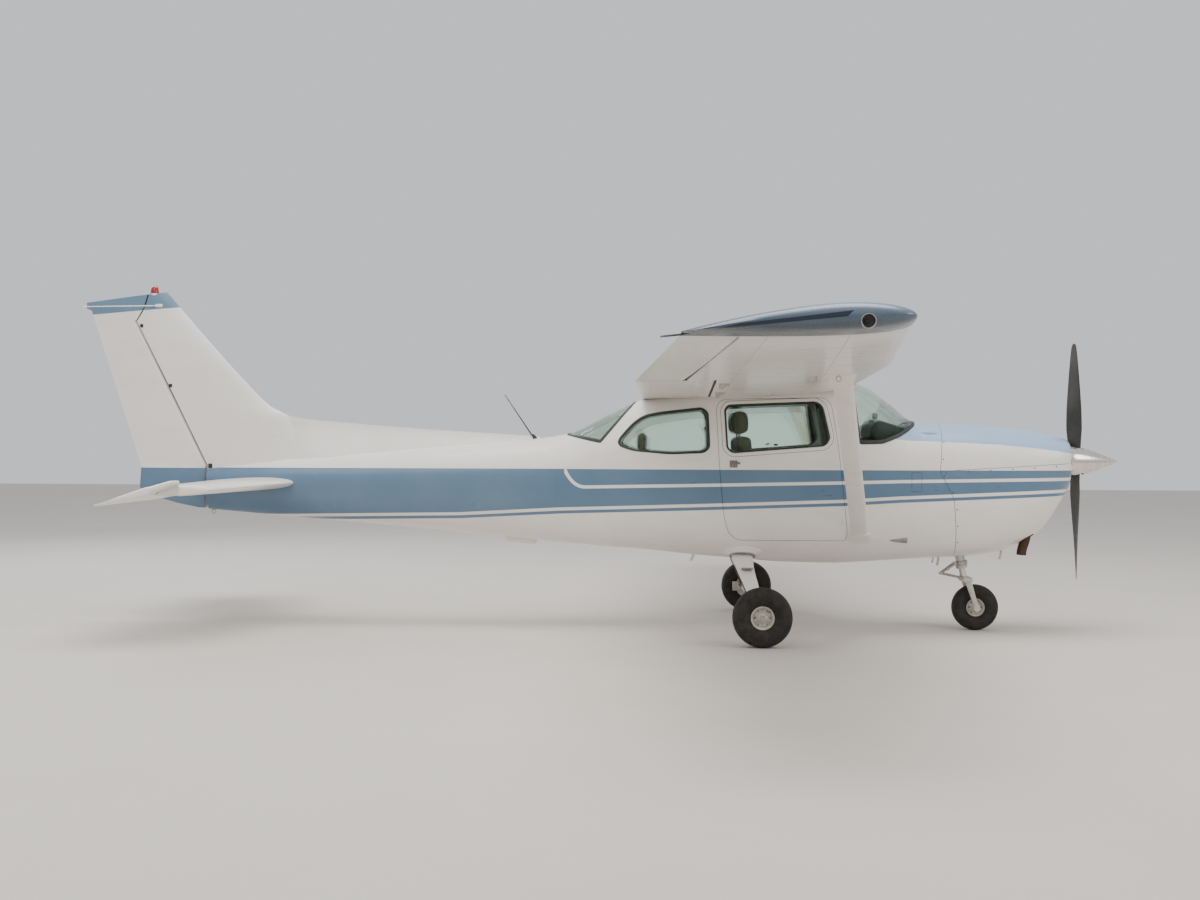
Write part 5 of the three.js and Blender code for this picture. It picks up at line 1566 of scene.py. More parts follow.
airscrew = {
    "x": 2.457, "z": 1.307, "lean": -3, "hub": 0.062, "spinnerBack": 2.404, "spinnerRim": 2.424,
            "spinnerBase": 0.124,
    "noseX": 2.782,
    "blade": [(0.040, 0.092, 62, 0.50), (0.095, 0.098, 58, 0.36), (0.150, 0.108, 52, 0.24),
              (0.260, 0.138, 43, 0.15),
              (0.420, 0.150, 33, 0.11), (0.600, 0.138, 25, 0.09), (0.760, 0.112, 20, 0.08),
              (0.865, 0.082, 17, 0.08),
              (0.895, 0.064, 16.4, 0.08), (0.910, 0.034, 16, 0.08)],
}


def leaned(obj):
    pivot = Matrix.Translation((0, 0, airscrew["z"]))
    obj.data.transform(pivot @ Matrix.Rotation(math.radians(airscrew["lean"]), 4, "X") @ pivot.inverted())
    return obj


def makeBlade(side):
    lines = smoothTable(airscrew["blade"])
    rings = []
    for k in range(48):
        radius = mix(0.040, airscrew["blade"][-1][0], 1 - (1 - k / 47) ** 1.25)
        chord, pitch, thick = lines(radius)
        a = math.radians(pitch)
        ring = []
        for u, v in section(thick, 0.02, count=16):
            back, up = (u - 0.45) * chord, v * chord
            ring.append((airscrew["x"] - back * math.sin(a) + up * math.cos(a),
                         side * (back * math.cos(a) + up * math.sin(a)), airscrew["z"] + side * radius))
        rings.append(ring)
    return loft(rings)


z = airscrew["z"]
blades = leaned(gather([makeBlade(1), makeBlade(-1)]))
finishPiece(blades, "propellerBlades", bladePaint, "propeller", ["propeller"], 40)
hub = gather([rod([(2.392, 0, z), (2.510, 0, z)], airscrew["hub"], 48),
              rod([(2.262, 0, z), (2.394, 0, z)], 0.040, 40)])
finishPiece(hub, "propellerHub", aluminium, "propeller")


def makeSpinner():
    steps = 40
    span = airscrew["noseX"] - airscrew["spinnerRim"]
    base = airscrew["spinnerBase"]
    outer = []
    for k in range(steps + 1):
        f = 1 - (1 - k / steps) ** 1.02
        outer.append((max(base * (1 - f ** 1.35), 0.0002), airscrew["spinnerRim"] + span * f))
    inner = [(max(r - 0.003, 0.0001), x - 0.003) for r, x in reversed(outer)][1:]
    profile = [(base, airscrew["spinnerBack"]), (base + 0.0008, 2.412), (base, 2.418)] + outer + inner
    profile += [(base - 0.003, airscrew["spinnerBack"])]
    cone = turned(profile, (0, 0, z), "x", 96)
    for side in (1, -1):
        slot = softBlock(2.398, 2.512, -0.058, 0.058, side * 0.080 - 0.060, side * 0.080 + 0.060, 0.018, 4)
        slot.data.transform(Matrix.Translation((0, 0, z)))
        combine(cone, leaned(slot))
    plate = turned([(0.063, 2.405), (0.1205, 2.405), (0.1205, 2.409), (0.063, 2.409)], (0, 0, z), "x", 72)
    return gather([cone, plate])


finishPiece(makeSpinner(), "spinnerShell", spinnerMetal, "propeller", ["spinner"], 30)
spinnerScrews = []
for k in range(16):
    a = 2 * math.pi * (k + 0.5) / 16
    n = Vector((0, math.cos(a), math.sin(a)))
    spinnerScrews.append((Vector((2.4145, 0, z)) + n * 0.1242, n))
finishPiece(studs(spinnerScrews, 0.0042, 0.0012), "spinnerScrews", screwSteel, "propeller")
print("propeller made")


# ---- seats

seats = {
    "front": {"y": 0.250, "width": 0.420, "cushion": ((-0.160, 0.948), (0.297, 0.966), 0.088),
              "back": ((-0.080, 0.938), (-0.108, 1.491), 0.150),
              "head": ((-0.124, 1.508), (-0.131, 1.681), 0.138),
              "headWidth": 0.226, "channels": (-0.085, 0, 0.085), "seams": (0.28, 0.62)},
    "rear": {"width": 0.800, "cushion": ((-0.932, 0.944), (-0.496, 0.966), 0.090),
             "back": ((-0.838, 0.975), (-0.893, 1.364), 0.104),
             "head": ((-0.874, 1.372), (-0.874, 1.516), 0.074),
             "headY": 0.215, "headWidth": 0.196, "channels": (-0.30, -0.20, -0.10, 0.10, 0.20, 0.30),
             "seams": (0.45,)},
}


def cushion(start, end, width, thick, y, channels=(), seams=(), face=1):
    # a crowned pad from start to end whose sides pull in between its corners, with sewn channels
    a, b = Vector((start[0], y, start[1])), Vector((end[0], y, end[1]))
    length, along = (b - a).length, (b - a).normalized()
    out = Vector((0, 1, 0)).cross(along) * -face
    edge, rings, welts = min(0.040, length * 0.22), [], []
    count, around = 72, 72
    for k in range(count + 1):
        f = k / count
        near0 = min(f, 1 - f) * length / edge
        swell = math.sqrt(max(1 - (1 - min(near0, 1)) ** 2, 0))
        half = width / 2 * (0.90 + 0.10 * swell) - 0.006 * math.sin(math.pi * f)
        high = max(thick / 2 * swell * (0.86 + 0.14 * math.sin(math.pi * f)), 0.0012)
        ring = []
        for i in range(around):
            t = 2 * math.pi * i / around
            across, up = half * signedPower(math.cos(t), 0.42), high * signedPower(math.sin(t), 0.62)
            if up > 0:
                share = abs(across) / half
                up *= 0.84 + 0.16 * (1 - share ** 2)
                sewn = sum(math.exp(-((across - c) / 0.0052) ** 2) for c in channels) if 0.10 < f < 0.90 else 0
                sewn += sum(math.exp(-(((f - s) * length) / 0.0052) ** 2) for s in seams) if share < 0.80 else 0
                sewn += math.exp(-((share - 0.80) * half / 0.0045) ** 2) if 0.06 < f < 0.94 else 0
                up -= min(sewn, 1) * 0.0075 * swell
            ring.append(a + along * (f * length) + Vector((0, across, 0)) + out * up)
        rings.append(ring)
        if 0.03 < f < 0.97:
            welts.append((f * length, half * 0.985, high * 0.52))
    loop = [a + along * s + Vector((0, w, 0)) + out * h for s, w, h in welts]
    loop += [a + along * s + Vector((0, -w, 0)) + out * h for s, w, h in reversed(welts)]
    return loft(rings), rod(loop + loop[:1], 0.0034, 8), (a, along, out, length, width)


def addCushion(name, shape, nodes=(), insert=0.80):
    obj, welt, (a, along, out, length, width) = shape
    finishPiece(obj, name, seatVinyl, "airframe", nodes, 60)
    obj.data.materials.append(seatCloth)
    for poly in obj.data.polygons:
        p = poly.center - Vector((axleX, 0, 0)) - a
        if p.dot(out) > 0 and abs(p.y) < insert * width / 2 and 0.06 * length < p.dot(along) < 0.94 * length:
            poly.material_index = 1
    finishPiece(welt, name + "Piping", seatVinyl, "airframe")


def seatFrame(y):
    # rails on the floor, legs, a pan and the posts of the headrest
    parts = [softBlock(-0.125, 0.255, y + s * 0.120 - 0.013, y + s * 0.120 + 0.013, 0.703, 0.728,
                       0.003) for s in (1, -1)]
    for s in (1, -1):
        for x in (-0.090, 0.215):
            parts.append(rod([(x, y + s * 0.120, 0.724), (x - 0.012, y + s * 0.125, 0.904)], 0.011, 14))
        parts.append(rod([(-0.123, y + s * 0.060, 1.470), (-0.127, y + s * 0.060, 1.530)], 0.006, 12))
    parts.append(softBlock(-0.110, 0.245, y - 0.165, y + 0.165, 0.893, 0.904, 0.004))
    parts.append(rod([(0.262, y - 0.14, 0.885), (0.268, y, 0.880), (0.262, y + 0.14, 0.885)], 0.007, 12))
    return gather(parts)


f = seats["front"]
for name, side in (("left", 1), ("right", -1)):
    y = side * f["y"]
    addCushion(name + "SeatCushion", cushion(*f["cushion"][:2], f["width"], f["cushion"][2], y, f["channels"],
                                             f["seams"]), [name + "_seat"])
    addCushion(name + "SeatBack", cushion(*f["back"][:2], f["width"], f["back"][2], y, f["channels"],
                                          (0.30, 0.72)))
    addCushion(name + "Headrest", cushion(*f["head"][:2], f["headWidth"], f["head"][2], y), insert=0.7)
    finishPiece(seatFrame(y), name + "SeatFrame", steel, "airframe")
    belt = []
    for s in (1, -1):
        route = [(-0.060 + 0.03 * k, y + s * (0.20 - 0.018 * k),
                  1.002 + 0.012 * math.sin(k * 0.8)) for k in range(9)]
        belt.append(loft([[Vector(p) + Vector((0.023 * u, 0, 0.0012 * v)) for u, v in
                           ((-1, -1), (1, -1), (1, 1), (-1, 1))] for p in route]))
    finishPiece(gather(belt), name + "LapBelt", blackPlastic, "airframe")
f = seats["rear"]
addCushion("rearSeatCushion", cushion(*f["cushion"][:2], f["width"], f["cushion"][2], 0, f["channels"],
                                      f["seams"]),
           ["rear_seat"], 0.9)
addCushion("rearSeatBack", cushion(*f["back"][:2], f["width"], f["back"][2], 0, f["channels"], (0.5,)),
           insert=0.9)
for name, side in (("left", 1), ("right", -1)):
    addCushion(name + "RearHeadrest", cushion(*f["head"][:2], f["headWidth"], f["head"][2],
                                              side * f["headY"]),
               insert=0.7)
finishPiece(softBlock(-0.890, -0.525, -0.315, 0.315, 0.703, 0.900, 0.012, 4), "rearSeatBox", seatVinyl,
            "airframe")
print("seats made")


# ---- instrument panel and controls

cockpit = {
    "shade": [(0.838, 1.478), (0.852, 1.572), (0.905, 1.630), (1.126, 1.556), (1.126, 1.444), (0.962, 1.430),
              (0.902, 1.444)],
    "board": (0.908, 0.952, 1.086, 1.436), "dialRows": (1.375, 1.275), "dialRadius": 0.039,
    "dials": (0.115, 0.205, 0.295, 0.385), "yokeX": 0.751, "yokeZ": 1.290, "grip": 0.131,
}


def makeShade():
    points = roundCorners(cockpit["shade"], 0.03, 4)
    rings = []
    for y in (-0.436, -0.43, -0.40, -0.34, -0.22, 0, 0.22, 0.34, 0.40, 0.43, 0.436):
        sag = 0.10 * (abs(y) / 0.436) ** 4
        grow = 0.94 if abs(y) > 0.433 else 1
        rings.append([(1.0 + (x - 1.0) * grow, y, 1.50 + (z - 1.50) * grow * (1 - sag)) for x, z in points])
    return loft(rings)


def dialAt(y, z, radius, pointer):
    # bezel, marks and hand of one instrument, facing aft
    x = cockpit["board"][0]
    ring = turned([(radius, x), (radius, x - 0.006), (radius * 0.86, x - 0.008), (radius * 0.84, x - 0.002),
                   (radius * 0.84, x)], (0, y, z), "x", 40)
    marks = []
    for k in range(12):
        a = 2 * math.pi * k / 12
        mark = softBlock(x - 0.0030, x - 0.0020, -0.0010, 0.0010, radius * 0.62, radius * 0.78, 0.0002, 1)
        mark.data.transform(Matrix.Translation((0, y, z)) @ Matrix.Rotation(a, 4, "X"))
        marks.append(mark)
    hand = softBlock(x - 0.0036, x - 0.0030, -0.0014, 0.0014, -radius * 0.15, radius * 0.66, 0.0002, 1)
    hand.data.transform(Matrix.Translation((0, y, z)) @ Matrix.Rotation(pointer, 4, "X"))
    return ring, marks + [hand]


x0, x1, z0, z1 = cockpit["board"]
board = [softBlock(x0, x1, -0.448, 0.448, z0 + 0.10, z1, 0.008),
         softBlock(x0 + 0.004, x1, -0.430, 0.430, z0, z0 + 0.11, 0.008),
         softBlock(x0 - 0.004, x1, -0.075, 0.075, 1.130, 1.420, 0.004)]
whites = []
for i, dy in enumerate(cockpit["dials"]):
    for j, dz in enumerate(cockpit["dialRows"]):
        ring, marks = dialAt(dy, dz, cockpit["dialRadius"], 0.7 + 1.3 * i - 0.9 * j)
        board.append(ring)
        whites += marks
for i, dy in enumerate((-0.130, -0.205)):
    ring, marks = dialAt(dy, 1.375, 0.030, 2.1 - i)
    board.append(ring)
    whites += marks
for k in range(4):
    board.append(softBlock(x0 - 0.009, x0, -0.070, 0.070, 1.352 - 0.055 * k, 1.398 - 0.055 * k, 0.003))
    for s in (1, -1):
        board.append(rod([(x0 - 0.022, s * 0.056, 1.375 - 0.055 * k),
                          (x0 - 0.006, s * 0.056, 1.375 - 0.055 * k)], 0.007, 16))
board.append(softBlock(x0 - 0.003, x0 + 0.006, -0.410, -0.250, 1.190, 1.330, 0.006))
for k in range(6):
    board.append(softBlock(x0 - 0.010, x0 + 0.006, 0.120 + 0.03 * k, 0.132 + 0.03 * k, 1.130, 1.152, 0.002))
finishPiece(gather(board), "instrumentBoard", blackPlastic, "airframe", ["instrument_panel"])
dialWhite = plainMaterial("dial_white", (0.74, 0.73, 0.68), (0.62, 0.61, 0.57), (0.4, 0.6), grain=200)
finishPiece(gather(whites), "dialMarks", dialWhite, "airframe")
finishPiece(makeShade(), "glareShield", blackPlastic, "airframe", sharp=50)
compass = gather([rod([(x, 0, 1.652) for x in (0.912, 0.916, 0.948, 0.952)], [0.018, 0.024, 0.024, 0.018],
                      32),
                  rod([(0.932, 0, 1.622), (0.932, 0, 1.640)], 0.007, 14)])
finishPiece(compass, "compass", blackPlastic, "airframe")
knobs = []
for y, z, r, reach in ((0.030, 1.115, 0.014, 0.050), (-0.010, 1.115, 0.011, 0.042),
                       (-0.050, 1.115, 0.011, 0.036)):
    knobs.append(rod([(x0 - reach, y, z), (x0 - reach + 0.004, y, z), (x0 - reach + 0.014, y, z),
                      (x0 - reach + 0.017, y, z),
                      (x0, y, z)], [r * 0.7, r, r, 0.004, 0.004], 20))
finishPiece(gather(knobs), "engineKnobs", blackPlastic, "airframe")


def makeYoke(y):
    g, x, z = cockpit["grip"], cockpit["yokeX"], cockpit["yokeZ"]
    half = [(g, 0.096), (g, 0.070), (g, 0.040), (g - 0.004, 0.018), (g - 0.016, 0.004), (g - 0.036, 0.0),
            (0.05, 0.0)]
    radii = [0.009, 0.0132, 0.0138, 0.0128, 0.0115, 0.0105, 0.0105]
    route = [(x, y + a, z + b) for a, b in half] + [(x, y - a, z + b) for a, b in reversed(half)]
    parts = [rod(route, radii + radii[::-1], 16),
             softBlock(x - 0.013, x + 0.013, y - 0.052, y + 0.052, z - 0.014,
                                                           z + 0.014, 0.006),
             rod([(x, y, z), (0.908, y, z)], 0.0125, 24)]
    return gather(parts)


for name, side in (("left", 1), ("right", -1)):
    finishPiece(makeYoke(side * 0.25), name + "Yoke", blackPlastic, "airframe", [name + "_yoke"])
pedals = []
for side in (1, -1):
    for s in (1, -1):
        y = side * 0.250 + s * 0.075
        pedals += [softBlock(1.150, 1.162, y - 0.036, y + 0.036, 0.790, 0.870, 0.006),
                   rod([(1.170, y, 0.712), (1.165, y, 0.800)], 0.008, 14)]
finishPiece(gather(pedals), "rudderPedals", steel, "airframe")
print("cockpit made")


# ---- painted shadow on the faces inside the hinge gaps

lapPaint = plainMaterial("lap_edge", (0.50, 0.475, 0.44), (0.36, 0.34, 0.31), (0.5, 0.7), grain=50)


# painted shadow: faces that pass the test take the dark seam_shadow finish
def paintGapShadow(name, test):
    obj = bpy.data.objects[name]
    obj.data.materials.append(seamDark)
    dark = len(obj.data.materials) - 1
    for poly in obj.data.polygons:
        if test(poly.center - Vector((axleX, 0, 0)), poly.normal):
            poly.material_index = dark


def chordPlace(p):
    # how far along and how far off the chord a point of the wing lies
    _, leadX, leadZ, trailX, trailZ = rib(abs(p.y))
    dx, dz, x, z = trailX - leadX, trailZ - leadZ, p.x - leadX, p.z - leadZ
    size = dx * dx + dz * dz
    return (x * dx + z * dz) / size, (x * dz - z * dx) / size


def inCove(p, n):
    u, v = chordPlace(p)
    return 0.5 < u < 0.99 and abs(v - camber(wing["camber"], u)) < 0.92 * halfThick(wing["thickness"], u)


def onNose(surface):
    y0, y1, h0, h1 = surface
    return lambda p, n: chordPlace(p)[0] < mix(h0, h1, (abs(p.y) - y0) / (y1 - y0)) - 0.012


def finRear(p, n):
    if p.z < tail["hornBase"]:
        return abs(p.x - hingeX(p.z) - 0.046) < 0.004 and n.x < -0.5
    return abs(p.x - lookup(tail["hornLine"], p.z) - 0.010) < 0.004 and n.x < -0.5


def rudderNose(p, n):
    front = hingeX(p.z) if p.z < tail["hornBase"] else lookup(tail["hornLine"], p.z) - 0.003
    return p.z > 1.24 and p.x > front + (0.036 if p.z < tail["hornBase"] else 0.001)


for name in ("left", "right"):
    paintGapShadow(name + "WingSkin", inCove)
    paintGapShadow(name + "FlapSkin", onNose(wing["flap"]))
    paintGapShadow(name + "AileronSkin", onNose(wing["aileron"]))
    paintGapShadow(name + "Stabilizer", lambda p,
           n: abs(p.y) < plane["hornY"] and n.x < -0.3 and p.x < plane["hinge"][0] + 0.05)
paintGapShadow("finSkin", finRear)
paintGapShadow("rudderSkin", rudderNose)
paintGapShadow("elevatorSkin", lambda p, n: abs(p.y) < plane["hornY"] and p.x > plane["hinge"][0] + 0.001)


# ---- doors: window frames, posts, latches, handles, seals

doorFit = {"frameOut": 0.022, "frameHalf": 0.010, "lineOut": 0.034, "handle": (-0.179, 1.283),
           "post": [(0.458, 1.742), (0.508, 1.405)], "latches": [(0.135, 1.428)],
           "rearLatch": (-0.392, 1.546)}
for name, side, obj in pair(lambda: ribbonOnSkin(offsetOutline(rounded["doorGlass"], -doorFit["frameOut"]), 1,
                                                doorFit["frameHalf"], 0.0032, 0.002)):
    finishPiece(obj, name + "WindowFrame", paint, name + "_door")
for name, side, obj in pair(lambda: ribbonOnSkin(offsetOutline(rounded["doorGlass"], -doorFit["lineOut"]), 1,
                                                 0.0016,
                                                0.0006, 0.002)):
    finishPiece(obj, name + "FrameEdge", seamDark, name + "_door")
for name, side, obj in pair(lambda: ribbonOnSkin(doorFit["post"], 1, 0.028, -0.015, 0.019, False)):
    finishPiece(obj, name + "DoorPost", blackPlastic, name + "_door")
for name, side, obj in pair(lambda: ribbonOnSkin(rounded["door"], 1, 0.0012, -0.003, 0.022)):
    finishPiece(obj, name + "DoorSeal", blackPlastic, "airframe")
seal = ribbonOnSkin(rounded["baggage"], 1, 0.0012, -0.003, 0.022)
finishPiece(seal, "baggageSeal", blackPlastic, "airframe")


def plateAt(x, z, wide, tall, deep, edge=0.003, sink=0.003):
    # a small block standing on the left side of the fuselage
    y = skinPoint(x, z, 1).y
    n = skinNormal(skinPoint(x, z, 1))[0]
    obj = softBlock(-wide / 2, wide / 2, -sink, deep, -tall / 2, tall / 2, edge)
    turn = Vector((0, 1, 0)).rotation_difference(n).to_matrix().to_4x4()
    obj.data.transform(Matrix.Translation((x, y, z)) @ turn)
    return obj


hx, hz = doorFit["handle"]
for name, side, obj in pair(lambda: gather([plateAt(hx, hz, 0.058, 0.054, 0.004, 0.003),
                                           plateAt(hx + 0.012, hz + 0.006, 0.074, 0.015, 0.013, 0.004)])):
    finishPiece(obj, name + "DoorHandle", screwSteel, name + "_door")
for name, side, obj in pair(lambda: gather([plateAt(x, z, 0.030, 0.014, 0.009) for x,
                                            z in doorFit["latches"]])):
    finishPiece(obj, name + "WindowLatch", blackPlastic, name + "_door")
for name, side, obj in pair(lambda: plateAt(*doorFit["rearLatch"], 0.012, 0.026, 0.008)):
    finishPiece(obj, name + "RearLatch", blackPlastic, "airframe")
for name, side, obj in pair(lambda: gather([plateAt(0.640, z, 0.018, 0.052, 0.006) for z in (0.86, 1.20)])):
    finishPiece(obj, name + "DoorHinges", bodyPaint, "airframe")
latch = gather([plateAt(-0.845, 1.260, 0.052, 0.030, 0.003), plateAt(-0.845, 1.262, 0.040, 0.010, 0.010)])
finishPiece(latch, "baggageLatch", aluminium, "baggage_door")
print("door fittings made")


# ---- cowl and cabin sides: screws, panel edges, vents, baffles

cowlFit = {"screwStep": 0.165, "edgeStep": 0.125,
           "panel": [(1.142, 1.224), (1.216, 1.224), (1.216, 1.083), (1.142, 1.083)],
           "scoop": (0.982, 1.115, 0.7165), "bump": (1.285, 1.522)}


def sideStuds(places, radius=0.0042, height=0.0012, sides=9):
    heads = []
    for x, z in places:
        p = skinPoint(x, z, 1)
        heads.append((p, skinNormal(p)[0]))
    return studs(heads, radius, height, sides)


def seamZ(x):
    (xa, za), (xb, zb) = body["cowlSeam"]
    return mix(za, zb, (x - xa) / (xb - xa))


def cowlScrews():
    places = [(1.395 + cowlFit["screwStep"] * k,
               seamZ(1.395 + cowlFit["screwStep"] * k) - 0.015) for k in range(6)]
    edge = sorted((z, x) for x, z in body["cowlEdge"])
    places += [(lookup(edge, z) + 0.016, z) for z in [0.70 + cowlFit["edgeStep"] * k for k in range(7)]]
    return sideStuds(places, 0.0055, 0.0014)


for name, side, obj in pair(cowlScrews):
    finishPiece(obj, name + "CowlScrews", seamDark, "airframe")
for name, side, obj in pair(lambda: ribbonOnSkin(roundCorners(cowlFit["panel"], 0.008), 1, 0.0014, 0.0005,
                                                 0.002)):
    finishPiece(obj, name + "SidePanel", seamDark, "airframe")
for name, side, obj in pair(lambda: ribbonOnSkin([(x + 0.001, z) for x, z in body["cowlEdge"][1:-1]], 1,
                                                 0.0020, 0.0004,
                                                0.004, False)):
    finishPiece(obj, name + "CowlEdgeGap", seamDark, "airframe")
for name, side, obj in pair(lambda: ribbonOnSkin([(1.36, seamZ(1.36)), (2.30, seamZ(2.30))], 1, 0.0016,
                                                 0.0004, 0.004,
                                                False)):
    finishPiece(obj, name + "CowlSeamGap", seamDark, "airframe")


def scoopShape(grow, ahead=0.0):
    x0, x1, z = cowlFit["scoop"]
    rings = []
    for k in range(13):
        f = k / 12
        x = mix(x0, x1, f) + ahead
        base = skinPoint(x, z, 1).y
        wide, out = grow * 0.023 * max(f, 0.02) ** 0.55, grow * 0.024 * max(f, 0.02) ** 0.8
        rings.append([(x, base - 0.004 + (out + 0.004) * math.cos(a), z + wide * math.sin(a))
                      for a in (math.radians(d) for d in range(-90, 91, 10))])
    return loft(rings)


for name, side, obj in pair(lambda: scoopShape(1.0)):
    finishPiece(obj, name + "VentScoop", ventGrey, "airframe")
# painted shade: a smaller black copy stands just proud of the scoop's closed front as its dark opening
for name, side, obj in pair(lambda: scoopShape(0.78, 0.0006)):
    finishPiece(obj, name + "VentMouth", blackPlastic, "airframe")
bx, bz = cowlFit["bump"]
bumpProfile = [(max(0.021 * math.sin(math.pi * (k / 24) ** 0.75), 0.0002),
                -0.078 + 0.156 * k / 24) for k in range(25)]
for name, side, obj in pair(lambda: turned(bumpProfile, skinPoint(bx, bz, 1) - Vector((0, 0.004, 0.004)), "x",
                                           32)):
    finishPiece(obj, name + "CowlBump", bodyPaint, "airframe")
baffle = [block(2.150, 2.154, -0.350, 0.350, 1.190, 1.440)]
for side in (1, -1):
    for k in range(7):
        baffle.append(softBlock(2.158, 2.196, min(side * 0.175, side * 0.345),
                                max(side * 0.175, side * 0.345),
                                1.235 + 0.022 * k, 1.240 + 0.022 * k, 0.001, 1))
finishPiece(gather(baffle), "coolingBaffle", castIron, "airframe")
drains = [rod([(1.405, y, 0.600), (1.400, y, 0.540), (1.392, y, 0.505)], 0.0065, 12) for y in (-0.150, -0.110,
                                                                                               0.120)]
drains.append(rod([(1.880, -0.120, 0.640), (1.872, -0.120, 0.575), (1.862, -0.120, 0.556)], 0.009, 14))
finishPiece(gather(drains), "drainTubes", aluminium, "airframe")
plate = softBlock(-1.950, -1.705, -0.055, 0.055, 0.648, 0.700, 0.010)
plate.data.transform(Matrix.Translation((-1.83, 0, 0.67)) @ Matrix.Rotation(0.10, 4,
                                                                            "Y") @ Matrix.Translation((1.83, 0, -0.67)))
finishPiece(plate, "bellyPlate", paint, "airframe")
mastFoot = gather([rod([(-1.716, 0, 1.462), (-1.726, 0, 1.482), (-1.740, 0, 1.500)], [0.020, 0.014, 0.008],
                       24)])
finishPiece(mastFoot, "mastFoot", blackPlastic, "airframe")
print("cowl fittings made")


# ---- wing details: laps, rivets, caps, rings, lights, wicks

wingFit = {"ribs": (0.90, 1.45, 2.00, 2.70, 3.30, 3.90, 4.50, 5.10), "spars": (0.27, 0.62),
           "rivetStep": 0.062,
           "cap": (1.55, 0.30), "light": (0.244, 2.017), "lightRadius": 0.036}


def wingLaps():
    parts = []
    for face, n in ((wingLower, (0, 0, -1)), (wingUpper, (0, 0, 1))):
        for y in wingFit["ribs"]:
            parts.append(strip([face(mix(0.03, 0.64, k / 16), y) for k in range(17)], 0.0042, (0, 1, 0),
                               0.0006, n))
        for u in wingFit["spars"]:
            parts.append(strip([face(u, y) for y in spanSteps(0.62, 5.19, 0.3)], 0.0042, (1, 0, 0), 0.0006,
                               n))
    return gather(parts)


def wingRivets():
    heads = []
    for face, n in ((wingLower, Vector((0, 0, -1))), (wingUpper, Vector((0, 0, 1)))):
        for u in wingFit["spars"]:
            for y in spanSteps(0.64, 5.17, wingFit["rivetStep"]):
                heads.append((face(u - 0.008, y), n))
        for y in wingFit["ribs"]:
            heads += [(face(mix(0.05, 0.62, k / 15), y + 0.012), n) for k in range(16)]
    return studs(heads, 0.0030, 0.0008, 6)


for name, side, obj in pair(wingLaps):
    finishPiece(obj, name + "WingLaps", lapPaint, "airframe")
for name, side, obj in pair(wingRivets):
    finishPiece(obj, name + "WingRivets", paint, "airframe")


def fuelCap():
    p = wingUpper(wingFit["cap"][1], wingFit["cap"][0])
    return gather([turned([(0.0004, -0.002), (0.048, -0.002), (0.048, 0.002), (0.040, 0.005),
                           (0.0004, 0.006)], p, "z", 40),
                   softBlock(p.x - 0.030, p.x + 0.030, p.y - 0.005, p.y + 0.005, p.z + 0.004, p.z + 0.010,
                             0.002)])


def ringAt(x, y, z, radius=0.016, wire=0.0032):
    loop = [(x + radius * math.cos(a), y,
             z + radius * math.sin(a)) for a in (2 * math.pi * k / 28 for k in range(29))]
    return rod(loop, wire, 10)


def underWing():
    # the tie-down ring, the drain of the fuel tank and two small vents
    p, q = wingLower(0.21, 2.53), wingLower(0.40, 0.72)
    return gather([ringAt(p.x, p.y, p.z - 0.020),
                   rod([(p.x, p.y, p.z + 0.004), (p.x, p.y, p.z - 0.006)], 0.008, 14),
                   rod([(q.x, q.y, q.z + 0.002), (q.x, q.y, q.z - 0.010)], 0.009, 18),
                   rod([wingLower(0.30, 2.62) + Vector((0, 0, 0.01)),
                        wingLower(0.30, 2.62) - Vector((0, 0, 0.030)),
                        wingLower(0.30, 2.62) - Vector((0.02, 0, 0.040))], 0.005, 12)])


def flapTracks():
    parts = []
    for y in (1.20, 2.20):
        low = wingLower(0.655, y)
        parts.append(prism([(low.x + 0.055, low.z + 0.010), (low.x + 0.045, low.z - 0.012),
                            (low.x, low.z - 0.040),
                            (low.x - 0.020, low.z - 0.040), (low.x - 0.020, low.z + 0.010)], y - 0.004,
                           y + 0.004))
    return gather(parts)


def wicks():
    parts = []
    for y in (5.24, 5.32):
        parts.append(rod([(-0.560, y, 1.972), (-0.620, y, 1.966), (-0.700, y, 1.958)],
                         [0.0032, 0.0026, 0.0020], 8))
    return gather(parts)


def tipLight():
    (x, z), r = wingFit["light"], wingFit["lightRadius"]
    ring = turned([(r - 0.005, 5.462), (r - 0.0006, 5.462), (r - 0.0006, 5.4846), (r - 0.003, 5.4849),
                   (r - 0.005, 5.483)],
                  (x, 0, z), "y", 48)
    return ring


def tipLamp():
    (x, z), r = wingFit["light"], wingFit["lightRadius"]
    return gather([turned([(0.0003, 5.4552), (r - 0.006, 5.4552), (r - 0.006, 5.462), (0.0003, 5.459)],
                          (x, 0, z), "y", 40),
                   turned([(0.0003, 5.458), (0.011, 5.458), (0.010, 5.468), (0.0003, 5.474)],
                          (x - 0.006, 0, z), "y", 28)])


for maker, label, material, slotName in (
        (fuelCap, "FuelCap", aluminium, "bare_aluminium"),
                                         (underWing, "UnderWingFittings", steel, "gear_steel"),
        (flapTracks, "FlapTracks", lapPaint, "painted_skin"),
                                         (wicks, "TipWicks", blackPlastic, "panel_plastic"),
        (tipLight, "TipLight", steel, "polished_metal"), (tipLamp, "TipLamp", blackPlastic, "panel_plastic")):
    for name, side, obj in pair(maker):
        finishPiece(obj, name + label, material, "airframe")
print("wing fittings made")


# ---- tail details and fuselage laps

